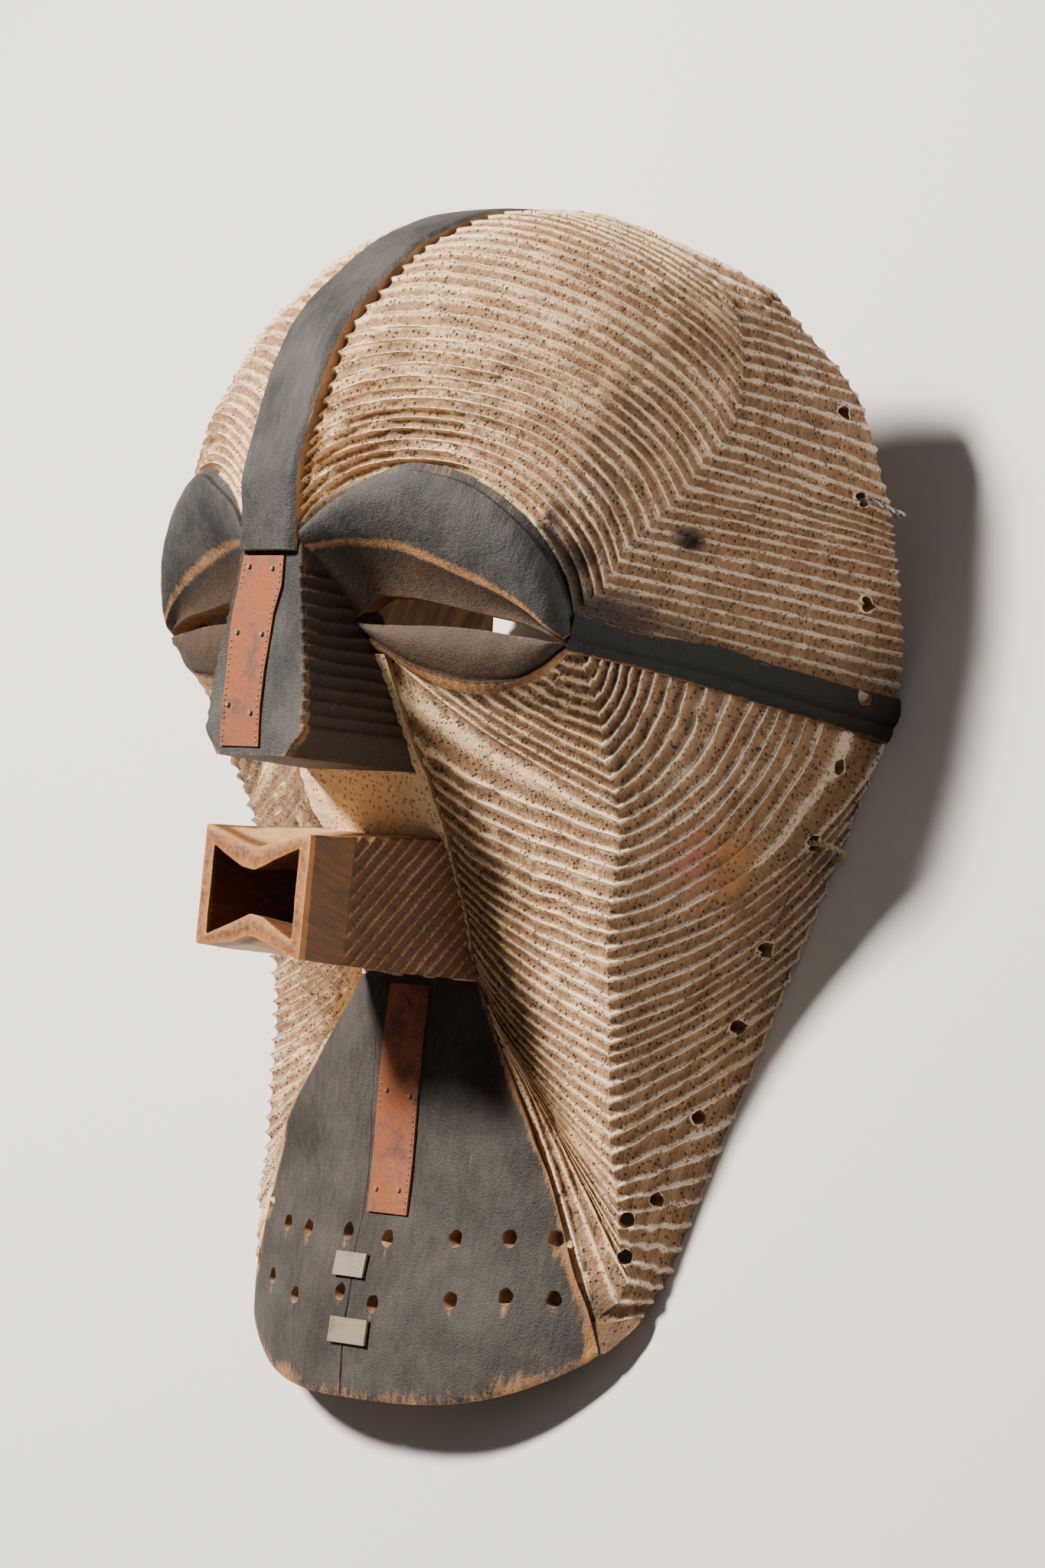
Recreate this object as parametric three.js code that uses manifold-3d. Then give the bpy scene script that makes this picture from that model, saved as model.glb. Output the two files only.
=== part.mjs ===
// A carved kifwebe mask lying on its rim: domed forehead with a raised crest, heavy brows over
// slit eyes, a flared nose, a box mouth, grooved cheeks and sides, and a flat chin plate.
// The face is drawn upright in millimetres: X to the viewer's right, Y up the face, Z out of it.
// At the end it is laid back on its straight side rims, so Z is then up and the rims lie at Z = 0.
import { BufferAttribute, BufferGeometry, Group, Mesh, MeshStandardMaterial, Vector3 } from "three";
import Module from "manifold-3d";

const wasm = await Module();
wasm.setup();

const wall = 9.2;             // outer surface to hollow, measured towards the middle of the mask
const skin = 20;              // how deep every carved patch reaches, which is past the hollow
const grooveDepth = 2.4;
const upperGrooves = 29;
const lowerGrooves = 42;
const templeColumns = 2;
const foreheadColumns = 4;
const sideColumns = 3;
const cheekColumns = 3;
const upperHullSteps = 7;
const groovesPerStep = 3;
const tuck = 3.5;             // borders run on under their neighbour by this much
const chinRise = 0.8;
const eyeSteps = 9;
const crestHalf = 17;
const crestRise = 2.4;
const browBulge = 6;
const lidRise = 0.8;
const bandRise = 1.8;
const bandLap = 1.5;
const noseFrontZ = 148;
const noseGrooves = 12;
const noseGrooveDepth = 1.1;
const mouthFrontZ = 140;
const mouthGrooveDepth = 1.6;
const mouthGroovePitch = 6;
const rimHole = 5.6;
const chinHole = 6;
const stripThick = 0.8;
const restGap = 0.25;         // clear space under every strip, nail head and plate
const nailHead = 2.4;
const nailShank = 1.1;
const nailLength = 6;
const nailClear = 0.42;
const nailLift = 0.25;        // nail heads clear the slope of the strip under them
const plateThick = 1.1;
const prongDeep = 4.5;
const crackWide = 1.1;
const crackDeep = 4;
const cordThick = 2.4;
const threadThick = 1.7;
const railSlope = 0.346;      // the side rims run straight: Z = railStart - railSlope * Y
const railStart = -51.6;
const railTrim = 2.5;         // wood left beyond the rest plane, then cut flat
const lieAngle = Math.atan(railSlope);
const slack = 0.22;           // joints of facets closer to the carved surface than this are merged

const mix = (a, b, s) => a.clone().lerp(b, s);
const v3 = (x, y, z) => new Vector3(x, y, z);

// Smooth curve through stations [t, ...values] without overshoot (harmonic mean slopes).
function along(stations, t) {
  const last = stations.length - 2;
  let i = 0;
  while (i < last && t > stations[i + 1][0]) {
    i += 1;
  }
  const a = stations[i];
  const b = stations[i + 1];
  const span = b[0] - a[0];
  const s = (t - a[0]) / span;
  const slopeOf = (p, q, k) => (q[k] - p[k]) / (q[0] - p[0]);
  const values = [];
  for (let k = 1; k < a.length; k += 1) {
    const here = slopeOf(a, b, k);
    const before = i > 0 ? slopeOf(stations[i - 1], a, k) : here;
    const after = i < last ? slopeOf(b, stations[i + 2], k) : here;
    const m0 = before * here > 0 ? (2 * before * here) / (before + here) : 0;
    const m1 = after * here > 0 ? (2 * after * here) / (after + here) : 0;
    const s2 = s * s;
    const s3 = s2 * s;
    const value = a[k] * (2 * s3 - 3 * s2 + 1) + b[k] * (3 * s2 - 2 * s3)
      + span * (m0 * (s3 - 2 * s2 + s) + m1 * (s3 - s2));
    values.push(value);
  }
  return values;
}
const pointAlong = (stations, t) => new Vector3(...along(stations, t));

// Depth of the rim plane along the middle axis, by height.
const axisDepth = [[-215, 22.8], [30, -62], [130, -62], [215, -25]];

// Moves a surface point into the wood by d, towards the middle axis (d < 0 moves it out).
function sunk(p, d) {
  const y = 0.85 * p.y;
  const aim = v3(-p.x, y - p.y, along(axisDepth, y)[0] - p.z).normalize();
  return p.clone().addScaledVector(aim, d);
}
const mirrored = (p) => v3(-p.x, p.y, p.z);

// Closed solid from points and triangles, turned right side out.
function solid(points, triangles) {
  let volume = 0;
  for (const [a, b, c] of triangles) {
    volume += points[a].dot(points[b].clone().cross(points[c]));
  }
  const faces = volume > 0 ? triangles : triangles.map(([a, b, c]) => [a, c, b]);
  const mesh = new wasm.Mesh({
    numProp: 3,
    vertProperties: Float32Array.from(points.flatMap((p) => [p.x, p.y, p.z])),
    triVerts: Uint32Array.from(faces.flat()),
  });
  return new wasm.Manifold(mesh);
}

// Slab between an outer grid of points and an inner one, which may have fewer rows.
function between(outer, inner) {
  const rows = outer.length;
  const columns = outer[0].length;
  const innerRows = inner.length;
  const points = [...outer.flat(), ...inner.flat()];
  const shift = rows * columns;
  const out = (r, c) => r * columns + c;
  const deep = (r, c) => shift + r * columns + c;
  const triangles = [];
  const quad = (a, b, c, d) => triangles.push([a, b, c], [a, c, d]);
  for (let c = 0; c < columns - 1; c += 1) {
    for (let r = 0; r < rows - 1; r += 1) {
      quad(out(r, c), out(r, c + 1), out(r + 1, c + 1), out(r + 1, c));
    }
    for (let r = 0; r < innerRows - 1; r += 1) {
      quad(deep(r, c), deep(r + 1, c), deep(r + 1, c + 1), deep(r, c + 1));
    }
    quad(out(0, c + 1), out(0, c), deep(0, c), deep(0, c + 1));
    quad(out(rows - 1, c), out(rows - 1, c + 1), deep(innerRows - 1, c + 1), deep(innerRows - 1, c));
  }
  for (const [c, turn] of [[0, false], [columns - 1, true]]) {
    let r = 0;
    let q = 0;
    while (r < rows - 1 || q < innerRows - 1) {
      const outerNext = (r + 1) / (rows - 1) <= (q + 1) / (innerRows - 1) + 1e-9;
      const face = r < rows - 1 && outerNext
        ? [out(r, c), out(r + 1, c), deep(q, c)]
        : [out(r, c), deep(q + 1, c), deep(q, c)];
      triangles.push(turn ? [face[0], face[2], face[1]] : face);
      if (r < rows - 1 && outerNext) {
        r += 1;
      } else {
        q += 1;
      }
    }
  }
  return solid(points, triangles);
}
// The inner side takes one row in `every` of the outer rows, laid on the crests.
function slab(grid, depth, every = 1) {
  const last = grid.length - 1;
  const kept = grid.filter((_, r) => r % every === 0 || r === last);
  return between(grid, kept.map((row) => row.map((p) => sunk(p, depth))));
}

// Closed solid through a list of equal rings of points, closed by fans at both ends.
function loft(rings) {
  const n = rings[0].length;
  const points = rings.flat();
  const middle = (ring) => ring.reduce((sum, p) => sum.add(p), v3(0, 0, 0)).divideScalar(n);
  points.push(middle(rings[0]), middle(rings[rings.length - 1]));
  const firstMiddle = points.length - 2;
  const lastRing = (rings.length - 1) * n;
  const triangles = [];
  for (let r = 0; r < rings.length - 1; r += 1) {
    for (let i = 0; i < n; i += 1) {
      const j = (i + 1) % n;
      const a = r * n + i;
      const b = r * n + j;
      triangles.push([a, b, b + n], [a, b + n, a + n]);
    }
  }
  for (let i = 0; i < n; i += 1) {
    const j = (i + 1) % n;
    triangles.push([firstMiddle, j, i], [firstMiddle + 1, lastRing + i, lastRing + j]);
  }
  return solid(points, triangles);
}

// Prism of n sides from point a to point b, with a radius at each end.
function prism(a, b, radius, n, endRadius = radius) {
  const direction = b.clone().sub(a).normalize();
  const guide = Math.abs(direction.x) > 0.8 ? v3(0, 1, 0) : v3(1, 0, 0);
  const side = guide.cross(direction).normalize();
  const up = direction.clone().cross(side);
  const ring = (centre, r) => Array.from({ length: n }, (_, i) => {
    const angle = (2 * Math.PI * (i + 0.5)) / n;
    const out = side.clone().multiplyScalar(Math.cos(angle)).addScaledVector(up, Math.sin(angle));
    return centre.clone().addScaledVector(out, r);
  });
  return loft([ring(a, radius), ring(b, endRadius)]);
}

// Curves of the near half follow; the far half is its mirror image.

const railZ = (y) => railStart - railSlope * y - railTrim;
const railed = ([t, x, y]) => [t, x, y, railZ(y)];

// Upper grooves: from the rim over the temple kink to the crest, t = 0 at the brow, 1 at the top.
const upperRim = [[0, 131, 52, -68], [0.08, 131, 67, -69], [0.21, 130, 88, -67], [0.33, 128, 107, -64],
  [0.5, 125, 124, -62], [0.61, 120, 142, -59], [0.73, 111, 168, -54], [0.82, 103, 182, -47],
  [0.9, 93, 195, -38], [1, 84, 208, -29]];
const upperKink = [[0, 122, 68, 95.5], [0.08, 123, 77, 85], [0.21, 121, 96, 71], [0.33, 119, 112, 52],
  [0.5, 116, 135, 31], [0.57, 113, 145, 20], [0.67, 107, 162, 9], [0.73, 104, 172, 5],
  [0.82, 98, 187, 2], [0.9, 88, 200, -3], [1, 62, 222, -11]];
const upperCrest = [[0, 15, 92, 149.5], [0.12, 15, 112, 150], [0.29, 15, 139, 144.5], [0.44, 15, 167, 137],
  [0.6, 15, 197, 115], [0.74, 15, 217, 91], [0.87, 15, 231, 61], [1, 15, 238.5, 17]];
const crestHandle = [[0, 28, 42, -7], [0.29, 38, 22, 0], [0.44, 42, 16, -4], [0.74, 42, 8, -6],
  [1, 15, -2, -6]];
const kinkHandle = [[0, 3, 57, 17], [0.29, 8, 50, 35], [0.44, 8, 42, 42], [0.74, 4, 28, 38],
  [1, -12, 5, 8]];

// Lower grooves: from the rim or the temple band to the side ridge and on to the middle of the
// face, t = 0 at the outer corner of the eye, 1 at the corner of the chin.
const lowerRim = [[0, 124.4, 54, 91.5], [0.17, 126.7, 51, 55], [0.23, 127.8, 48.5, 33],
  [0.29, 128.8, 45.5, 5], [0.36, 129.6, 43, -16], [0.415, 130.5, 41, -36],
  railed([0.455, 131, 37.5]), railed([0.526, 130, 6]), railed([0.578, 129, -23]),
  railed([0.641, 127.5, -48]), railed([0.7, 126, -71]), railed([0.757, 125, -95]),
  railed([0.8, 123, -123]), railed([0.872, 121, -155]), [0.936, 119, -180, 11], [1, 118, -195, 22]];
const ridge = [[0, 124, 53.5, 94], [0.09, 120.5, 32, 77.5], [0.17, 118.5, 13, 69.5], [0.23, 117.5, -1, 61],
  [0.29, 115, -15, 55.5], [0.4, 108, -44, 50.5], [0.47, 106, -61, 47.8], [0.56, 105.7, -84, 43],
  [0.64, 106, -102, 41], [0.7, 107, -118, 39.7], [0.76, 108.4, -134, 38], [0.82, 111, -149, 35],
  [0.9, 114, -167, 34], [0.95, 117, -182, 30.5], [0.97, 115, -189, 31.5], [1, 106, -199.5, 35]];
const inner = [[0, 122, 53, 96.3], [0.07, 110, 43, 98.5], [0.14, 92, 37, 102], [0.18, 78, 35.5, 106],
  [0.205, 66, 37.5, 109.3], [0.23, 50, 42, 111.6], [0.25, 36, 48.5, 115], [0.27, 37, 26, 103],
  [0.295, 38, 14, 97], [0.335, 40, 2, 90], [0.376, 40, -9, 84], [0.416, 37.5, -20, 75.5],
  [0.467, 37, -31, 70], [0.52, 37, -41, 65], [0.584, 37, -51, 60.7], [0.641, 36.5, -62, 57],
  [0.705, 36, -68, 54.5], [0.751, 35.5, -73, 52.5], [0.8, 38.5, -77, 52.5], [0.86, 43, -84, 52.4],
  [0.93, 48, -90, 52.2], [1, 54.5, -98, 52.1]];
const cheekSag = [[0, 0.5], [0.15, 2], [0.3, 6], [0.5, 5], [0.7, 8], [0.85, 3], [1, -6.2]];
const sideBow = [[0, 0], [0.1, 2], [0.23, 6], [0.36, 11.5], [0.45, 15], [0.52, 11.5], [0.6, 5.5], [0.7, 1.5],
  [0.8, 0], [1, 0]];

// Eye and brow, t = 0 at the nose, 8 at the outer corner.
const browTop = [[0, 18, 92.5, 149], [1, 30, 103, 146], [2, 46, 111, 143], [3, 66, 117.4, 136],
  [4, 86, 114, 127], [5, 103, 104, 118.3], [6, 114, 92, 110], [7, 121, 76.6, 102.2], [8, 124, 59, 96]];
const browEdge = [[0, 18, 86.5, 146.6], [1, 34, 89.5, 137], [2, 50, 89, 129.4], [3, 64, 85.3, 125.9],
  [4, 83, 79, 121.3], [5, 100, 72.5, 115], [6, 112, 66, 110], [7, 119, 60.5, 106], [8, 122.5, 57, 99.5]];
const slitTop = [[0, 27, 61.5, 125], [1, 35, 71, 117.6], [2, 50, 70.5, 116.5], [3, 66, 68.5, 114.8],
  [4, 85, 65.5, 112], [5, 102, 63, 108.3], [6, 112, 60.5, 105], [7, 118.5, 58, 103], [8, 121.5, 56.4, 99.8]];
const slitFoot = [[0, 29, 59.5, 124.5], [1, 36, 59.3, 121], [2, 52, 59.4, 118], [3, 66, 59.6, 115.5],
  [4, 85, 59, 111], [5, 100, 57.5, 107.4], [6, 111, 56.5, 104.5], [7, 118.5, 55.6, 102.3],
  [8, 121.5, 55.6, 99.6]];
const lidFoot = [[0, 32, 56, 122.5], [1, 36, 54, 121], [2, 50, 47.7, 117], [3, 66, 43.4, 112.3],
  [4, 80, 41.4, 108.4], [5, 98, 42, 104], [6, 111, 47, 100.8], [7, 119, 53, 98.5], [8, 121.8, 54.6, 98]];
const lidRim = [[0, 32, 50, 116.5], [1, 36, 49, 116], [2, 50, 42, 111.6], [3, 68, 37, 109],
  [4, 82, 35.6, 105], [5, 98, 38.5, 101], [6, 110, 43, 98.5], [7, 118.5, 50, 96.6], [8, 122, 53, 96]];

// Temple band, t = 0 at the eye corner, 1 at the rim.
const bandTop = [[0, 123, 66, 95], [0.25, 126, 62, 59], [0.45, 128, 62, 30], [0.65, 129, 58.7, 3],
  [0.85, 130, 56, -24], [1, 131, 52.5, -68]];
const bandFoot = [[0, 123, 54, 97], [0.25, 127, 51, 56], [0.45, 128, 48, 28], [0.65, 129, 45, 1],
  [0.85, 130, 42, -25], [1, 131, 37, -68]];

// Chin plate, t = 0 under the mouth, 1 at the bottom edge: half width, then edge and middle.
const chinEdge = [[0, 34.5, -71, 52.3], [0.2, 57, -103, 52], [0.38, 77, -132, 50.7], [0.48, 84, -146, 46.7],
  [0.58, 91, -163, 44], [0.72, 98, -181.5, 41.3], [0.86, 104.5, -196, 37.5], [1, 109, -212, 33.5]];
const chinMiddle = [[0, -72, 55], [0.2, -104, 57], [0.38, -134, 57], [0.48, -151, 57.5],
  [0.58, -169, 59], [0.72, -193, 62.5], [0.86, -216, 64.5], [1, -240.5, 65]];
const crestLine = [[0, 84.6, 149.8], [0.1, 112, 152], [0.24, 139, 147.5], [0.38, 167, 139.5],
  [0.46, 182, 131], [0.56, 197, 117.5], [0.66, 212, 101], [0.74, 222, 84.5], [0.83, 230, 67], [0.93, 237, 43],
  [1, 240.5, 23]];

// Rows of a grooved patch: even rows are crests, odd rows are sunk to the groove bottom.
function groovedRows(count, curve, columns, border) {
  const rows = [];
  for (let r = 0; r <= 2 * count; r += 1) {
    const depth = r % 2 ? grooveDepth : 0;
    const t = r / (2 * count);
    const row = Array.from({ length: columns + 1 }, (_, c) => sunk(curve(t, c / columns), depth));
    rows.push(border ? [...row, border(t)] : row);
  }
  return rows;
}
function bezier(a, b, c, d, s) {
  const r = 1 - s;
  return a.clone().multiplyScalar(r * r * r).addScaledVector(b, 3 * r * r * s)
    .addScaledVector(c, 3 * r * s * s).addScaledVector(d, s * s * s);
}
function bowed(a, b, bow, s) {
  return mix(a, b, s).addScaledVector(bow, 4 * s * (1 - s));
}
const temple = (t, s) => bowed(pointAlong(upperRim, t), pointAlong(upperKink, t), v3(3, 0, 0), s);
function forehead(t, s) {
  const a = pointAlong(upperKink, t);
  const d = pointAlong(upperCrest, t);
  const b = a.clone().add(pointAlong(kinkHandle, t));
  const c = d.clone().add(pointAlong(crestHandle, t));
  return bezier(a, b, c, d, s);
}
const sideFace = (t, s) => bowed(pointAlong(lowerRim, t), pointAlong(ridge, t),
  v3(0.35, -0.75, -0.66).multiplyScalar(along(sideBow, t)[0]), s);
function cheek(t, s) {
  const sag = along(cheekSag, t)[0];
  const reach = s < 1 ? 4 * s * (1 - s) * (0.6 + 0.8 * s) : 0;
  const flat = mix(pointAlong(ridge, t), pointAlong(inner, t), s);
  return flat.add(v3(-0.7, -0.7, -0.25).multiplyScalar(sag * reach));
}
// Rows of the plain form under all the carving, from the bottom edge to the top, sunk by pull.
function hullRows(pull) {
  const rows = [];
  rows.push([pointAlong(lowerRim, 1), v3(115.5, -203, 28), v3(109, -211, 33), v3(92, -224, 43),
    v3(70, -233, 51), v3(45, -238, 59), v3(18, -240, 64)]);
  for (const t of [0.97, 0.92, 0.86, 0.79, 0.71, 0.62, 0.52, 0.42, 0.33, 0.25]) {
    const rim = t > 0.455 ? pointAlong(lowerRim, t) : v3(131, 55.7 - 40 * t, railZ(55.7 - 40 * t));
    const side = pointAlong(ridge, t);
    const p = pointAlong(inner, t);
    const middle = t > 0.75 ? v3(0.3 * p.x, p.y - 8, p.z + 8) : v3(12, p.y, p.z + 2.5);
    rows.push([rim, mix(rim, side, 0.5), side, cheek(t, 0.33), cheek(t, 0.67), p, middle]);
  }
  for (const [t, eye, middle] of [[0.2, v3(38, 48, 113), v3(12, 52, 115)],
    [0.12, v3(56, 48, 112), v3(12, 58, 117)], [0.03, v3(70, 62, 111), v3(12, 66, 119)]]) {
    const rim = v3(131, 52 - 30 * t, railZ(52 - 30 * t));
    const side = pointAlong(ridge, t);
    rows.push([rim, mix(rim, side, 0.5), side, cheek(t, 0.5), cheek(t, 1), eye, middle]);
  }
  for (let i = 0; i <= upperHullSteps; i += 1) {
    const t = i / upperHullSteps;
    rows.push([temple(t, 0), temple(t, 0.5), temple(t, 1),
      ...[0.25, 0.5, 0.75, 1].map((s) => forehead(t, s))]);
  }
  return rows.map((row) => [...row, ...row.map(mirrored).reverse()].map((p) => sunk(p, pull)));
}

const upperCurve = (t, s) => (s < templeColumns / (templeColumns + foreheadColumns)
  ? temple(t, (s * (templeColumns + foreheadColumns)) / templeColumns)
  : forehead(t, (s * (templeColumns + foreheadColumns) - templeColumns) / foreheadColumns));
// Past the inner border the lower patch runs on a little, below its neighbour's surface.
function borderTuck(t) {
  const p = pointAlong(inner, t);
  if (t < 0.25) {
    return sunk(p, 2.5).add(v3(0, 0.8 * tuck, 0));
  }
  return sunk(p, 2).add(v3(-tuck, 0, 0));
}
const lowerCurve = (t, s) => (s < sideColumns / (sideColumns + cheekColumns)
  ? sideFace(t, (s * (sideColumns + cheekColumns)) / sideColumns)
  : cheek(t, (s * (sideColumns + cheekColumns) - sideColumns) / cheekColumns));

const flipped = (rows) => rows.map((row) => row.map(mirrored));
const bothSides = (rows, depth, every = 1) => [slab(rows, depth, every), slab(flipped(rows), depth, every)];
const join = (list) => list.reduce((sum, next) => sum.add(next));

// Brow, slit edges, lid and lid rim as one carved patch.
function eyeRows() {
  const row = (make) => Array.from({ length: eyeSteps + 1 }, (_, i) => make((8 * i) / eyeSteps));
  const swell = (t) => Math.sin((Math.PI * (t + 0.6)) / 9.2);
  const brow = (f) => row((t) => mix(pointAlong(browTop, t), pointAlong(browEdge, t), f)
    .add(v3(0.2, 0.35, 0.95).multiplyScalar(browBulge * swell(t) * 4 * f * (1 - f))));
  const lid = (f) => row((t) => mix(pointAlong(slitFoot, t), pointAlong(lidFoot, t), f)
    .add(v3(0.1, 0, 1).multiplyScalar(2.5 * swell(t) * 4 * f * (1 - f))));
  return [
    row((t) => sunk(pointAlong(browTop, t), 4).add(v3(0.25, 0.9, 0).multiplyScalar(tuck))),
    row((t) => sunk(pointAlong(browTop, t), 2)),
    brow(0.08), brow(0.4), brow(0.75), brow(1),
    row((t) => mix(pointAlong(browEdge, t), pointAlong(slitTop, t), 0.5)),
    row((t) => pointAlong(slitTop, t)),
    lid(0), lid(0.5), lid(1),
    row((t) => mix(pointAlong(lidFoot, t), pointAlong(lidRim, t), 0.2).add(v3(0, 0, -0.8))),
    row((t) => sunk(pointAlong(lidRim, t), -lidRise)),
  ];
}

// Cuts the eye slit: the opening between its two edges, widening behind.
function slitCutter(sign) {
  const rings = [];
  for (let i = 1; i < eyeSteps; i += 1) {
    const t = (8 * i) / eyeSteps;
    const top = pointAlong(slitTop, t);
    const foot = pointAlong(slitFoot, t);
    const ahead = v3(0, 0, 9);
    const behind = v3(-4, 0, -42);
    const spread = v3(0, 3, 0);
    const ring = [foot.clone().add(ahead), top.clone().add(ahead), top.clone(),
      top.clone().add(behind).add(spread), foot.clone().add(behind).sub(spread), foot.clone()];
    rings.push(sign > 0 ? ring : ring.map(mirrored));
  }
  return loft(rings);
}

function bandRows() {
  const steps = 6;
  const lines = [[0, 0.5 * bandRise, bandLap], [0.25, bandRise, 0], [0.7, bandRise, 0],
    [1, 0.5 * bandRise, -bandLap]];
  return lines.map(([f, rise, lap]) => Array.from({ length: steps + 1 }, (_, i) => {
    const t = i / steps;
    return sunk(mix(pointAlong(bandTop, t), pointAlong(bandFoot, t), f), -rise).add(v3(0, lap, 0));
  }));
}

function crestRows() {
  const steps = 16;
  return Array.from({ length: steps + 1 }, (_, i) => {
    const [y, z] = along(crestLine, i / steps);
    const drop = [1.4, 0.4, 0, 0.4, 1.4];
    return [-1, -0.5, 0, 0.5, 1].map((s, k) => sunk(v3(s * crestHalf, y, z), drop[k] - crestRise));
  });
}

function chinRows() {
  const steps = 9;
  const columns = 8;
  return Array.from({ length: steps + 1 }, (_, i) => {
    const t = i / steps;
    const [x, ye, ze] = along(chinEdge, t);
    const [yc, zc] = along(chinMiddle, t);
    return Array.from({ length: columns + 1 }, (__, c) => {
      const s = (2 * c) / columns - 1;
      return v3(x * s, yc + (ye - yc) * Math.abs(s) ** 3, zc + (ze - zc) * s * s + chinRise);
    });
  });
}

// Height of the chin plate's surface at a point of the face.
function chinSurface(x, y) {
  let t = 0.5;
  for (let i = 0; i < 20; i += 1) {
    const s = Math.min(Math.abs(x) / along(chinEdge, t)[0], 1);
    const [, ye] = along(chinEdge, t);
    const [yc] = along(chinMiddle, t);
    const error = yc + (ye - yc) * s ** 3 - y;
    t = Math.min(Math.max(t + error / 180, 0), 1);
  }
  const [xe, , ze] = along(chinEdge, t);
  const [, zc] = along(chinMiddle, t);
  const s = Math.min(Math.abs(x) / xe, 1);
  return zc + (ze - zc) * s * s + chinRise;
}

// Plain wood at the chin corner, between the last groove and the bottom edge.
function cornerRows() {
  return [
    [pointAlong(lowerRim, 1), pointAlong(ridge, 1), v3(99, -199, 37.5)],
    [v3(117.8, -198.5, 24.5), v3(109, -206, 33.3), v3(100, -206, 37.5)],
    [v3(116, -202.5, 27.5), v3(112.5, -207.5, 30.5), v3(108.5, -211.5, 33.5)],
  ];
}

// Face between nose and mouth and behind them, from crease to crease.
function middleRows() {
  const steps = 7;
  return Array.from({ length: steps + 1 }, (_, i) => {
    const p = pointAlong(inner, 0.25 + (0.5 * i) / steps);
    return [-1, -0.5, 0, 0.5, 1].map((s) => v3(p.x * s, p.y, p.z + 1 + 2.5 * (1 - s * s)));
  });
}

// Half width of the nose at a height and a depth behind its front.
function noseHalf(y, depth) {
  const widths = [[5, 22, 33], [8, 24.5, 33.5], [16.5, 31, 35], [78.5, 20, 32], [88, 18, 30]];
  const [front, back] = along(widths, y);
  return front + ((back - front) * depth) / 50;
}
function nose() {
  return loft([5, 8, 16.5, 47, 78.5, 88].map((y) => [v3(-noseHalf(y, 60), y, noseFrontZ - 60),
    v3(-noseHalf(y, 0), y, noseFrontZ), v3(noseHalf(y, 0), y, noseFrontZ),
    v3(noseHalf(y, 60), y, noseFrontZ - 60)]));
}
// Level cuts across a side of the nose, running out before its foot.
function noseCuts(sign) {
  const cuts = [];
  for (let i = 0; i < noseGrooves; i += 1) {
    const y = 19 + (58 * i) / (noseGrooves - 1);
    const ring = (depth, deep) => [v3(noseHalf(y, depth) + 3, y + 3.4, noseFrontZ - depth),
      v3(noseHalf(y, depth) - deep, y, noseFrontZ - depth),
      v3(noseHalf(y, depth) + 3, y - 3.4, noseFrontZ - depth)];
    const rings = [ring(-3, noseGrooveDepth), ring(30, noseGrooveDepth)];
    cuts.push(loft(rings.map((r) => r.map((p) => v3(sign * p.x, p.y, p.z)))));
  }
  return join(cuts);
}

function mouthBox() {
  const ring = (z, half, top, foot, notch) => [v3(-half, top + 1.5, z), v3(-9, top - 0.75 * notch, z),
    v3(0, top - notch, z), v3(9, top - 0.75 * notch, z), v3(half, top - 1, z), v3(half, foot - 1.5, z),
    v3(9, foot + 0.7 * notch, z), v3(0, foot + notch, z), v3(-9, foot + 0.6 * notch, z),
    v3(-half, foot + 2, z)];
  return loft([ring(40, 38, -17, -70, 0), ring(70, 37, -18.5, -71, 0), ring(95, 35.5, -20, -71.5, 1.5),
    ring(122, 33.5, -22, -71.5, 5), ring(mouthFrontZ, 33, -23, -71, 7)]);
}
function mouthHollow() {
  const ring = (z, half, top, foot, notch) => [v3(-half, top, z), v3(-8, top - 0.9 * notch, z),
    v3(0, top - notch, z), v3(10, top - 0.6 * notch, z), v3(half, top, z), v3(half, foot, z),
    v3(8, foot + 0.85 * notch, z), v3(0, foot + notch, z), v3(-10, foot + 0.6 * notch, z),
    v3(-half, foot, z)];
  return loft([ring(15, 24, -31, -61, 0), ring(60, 25.5, -31, -63, 2), ring(120, 26.5, -30.5, -64, 6.5),
    ring(mouthFrontZ + 2, 27, -29.5, -65, 9.5)]);
}
// Slanted cuts on both sides of the mouth box, kept behind the smooth lip.
function mouthGrooves(sign) {
  const cuts = [];
  const turned = (ring) => ring.map((p) => v3(sign * p.x, p.y, p.z));
  for (let i = -5; i < 14; i += 1) {
    const z = 118 - i * mouthGroovePitch;
    const half = (z0) => 38.4 - ((z0 - 50) * 5) / 80;
    const low = v3(0, -78, z + 8);
    const high = v3(0, -12, z - 46);
    const ring = (p) => [v3(half(p.z) + 2, p.y, p.z + 3), v3(half(p.z) + 2, p.y, p.z - 3),
      v3(half(p.z) - mouthGrooveDepth, p.y, p.z)];
    cuts.push(loft([turned(ring(low)), turned(ring(high))]));
  }
  const zone = [[-69.5, 66], [-22, 76]].map(([y, z]) => turned([v3(25, y, z), v3(45, y, z), v3(45, y, 119),
    v3(25, y, 119)]));
  return join(cuts).intersect(loft(zone));
}

// The hollow: the plain form sunk by the wall, stretched out through the back.
function hollow() {
  const rows = hullRows(wall);
  const back = v3(0, -Math.sin(lieAngle), -Math.cos(lieAngle)).multiplyScalar(30);
  const low = v3(0, -0.68, -0.73).multiplyScalar(30);
  const high = v3(0, 0.6, -0.8).multiplyScalar(34);
  const first = rows[0].map((p) => p.clone().add(low));
  const last = rows[rows.length - 1].map((p) => p.clone().add(high));
  const all = [first, ...rows, last];
  const rings = all.map((row) => [row[0].clone().add(back), ...row, row[row.length - 1].clone().add(back)]);
  return loft(rings);
}

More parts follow.
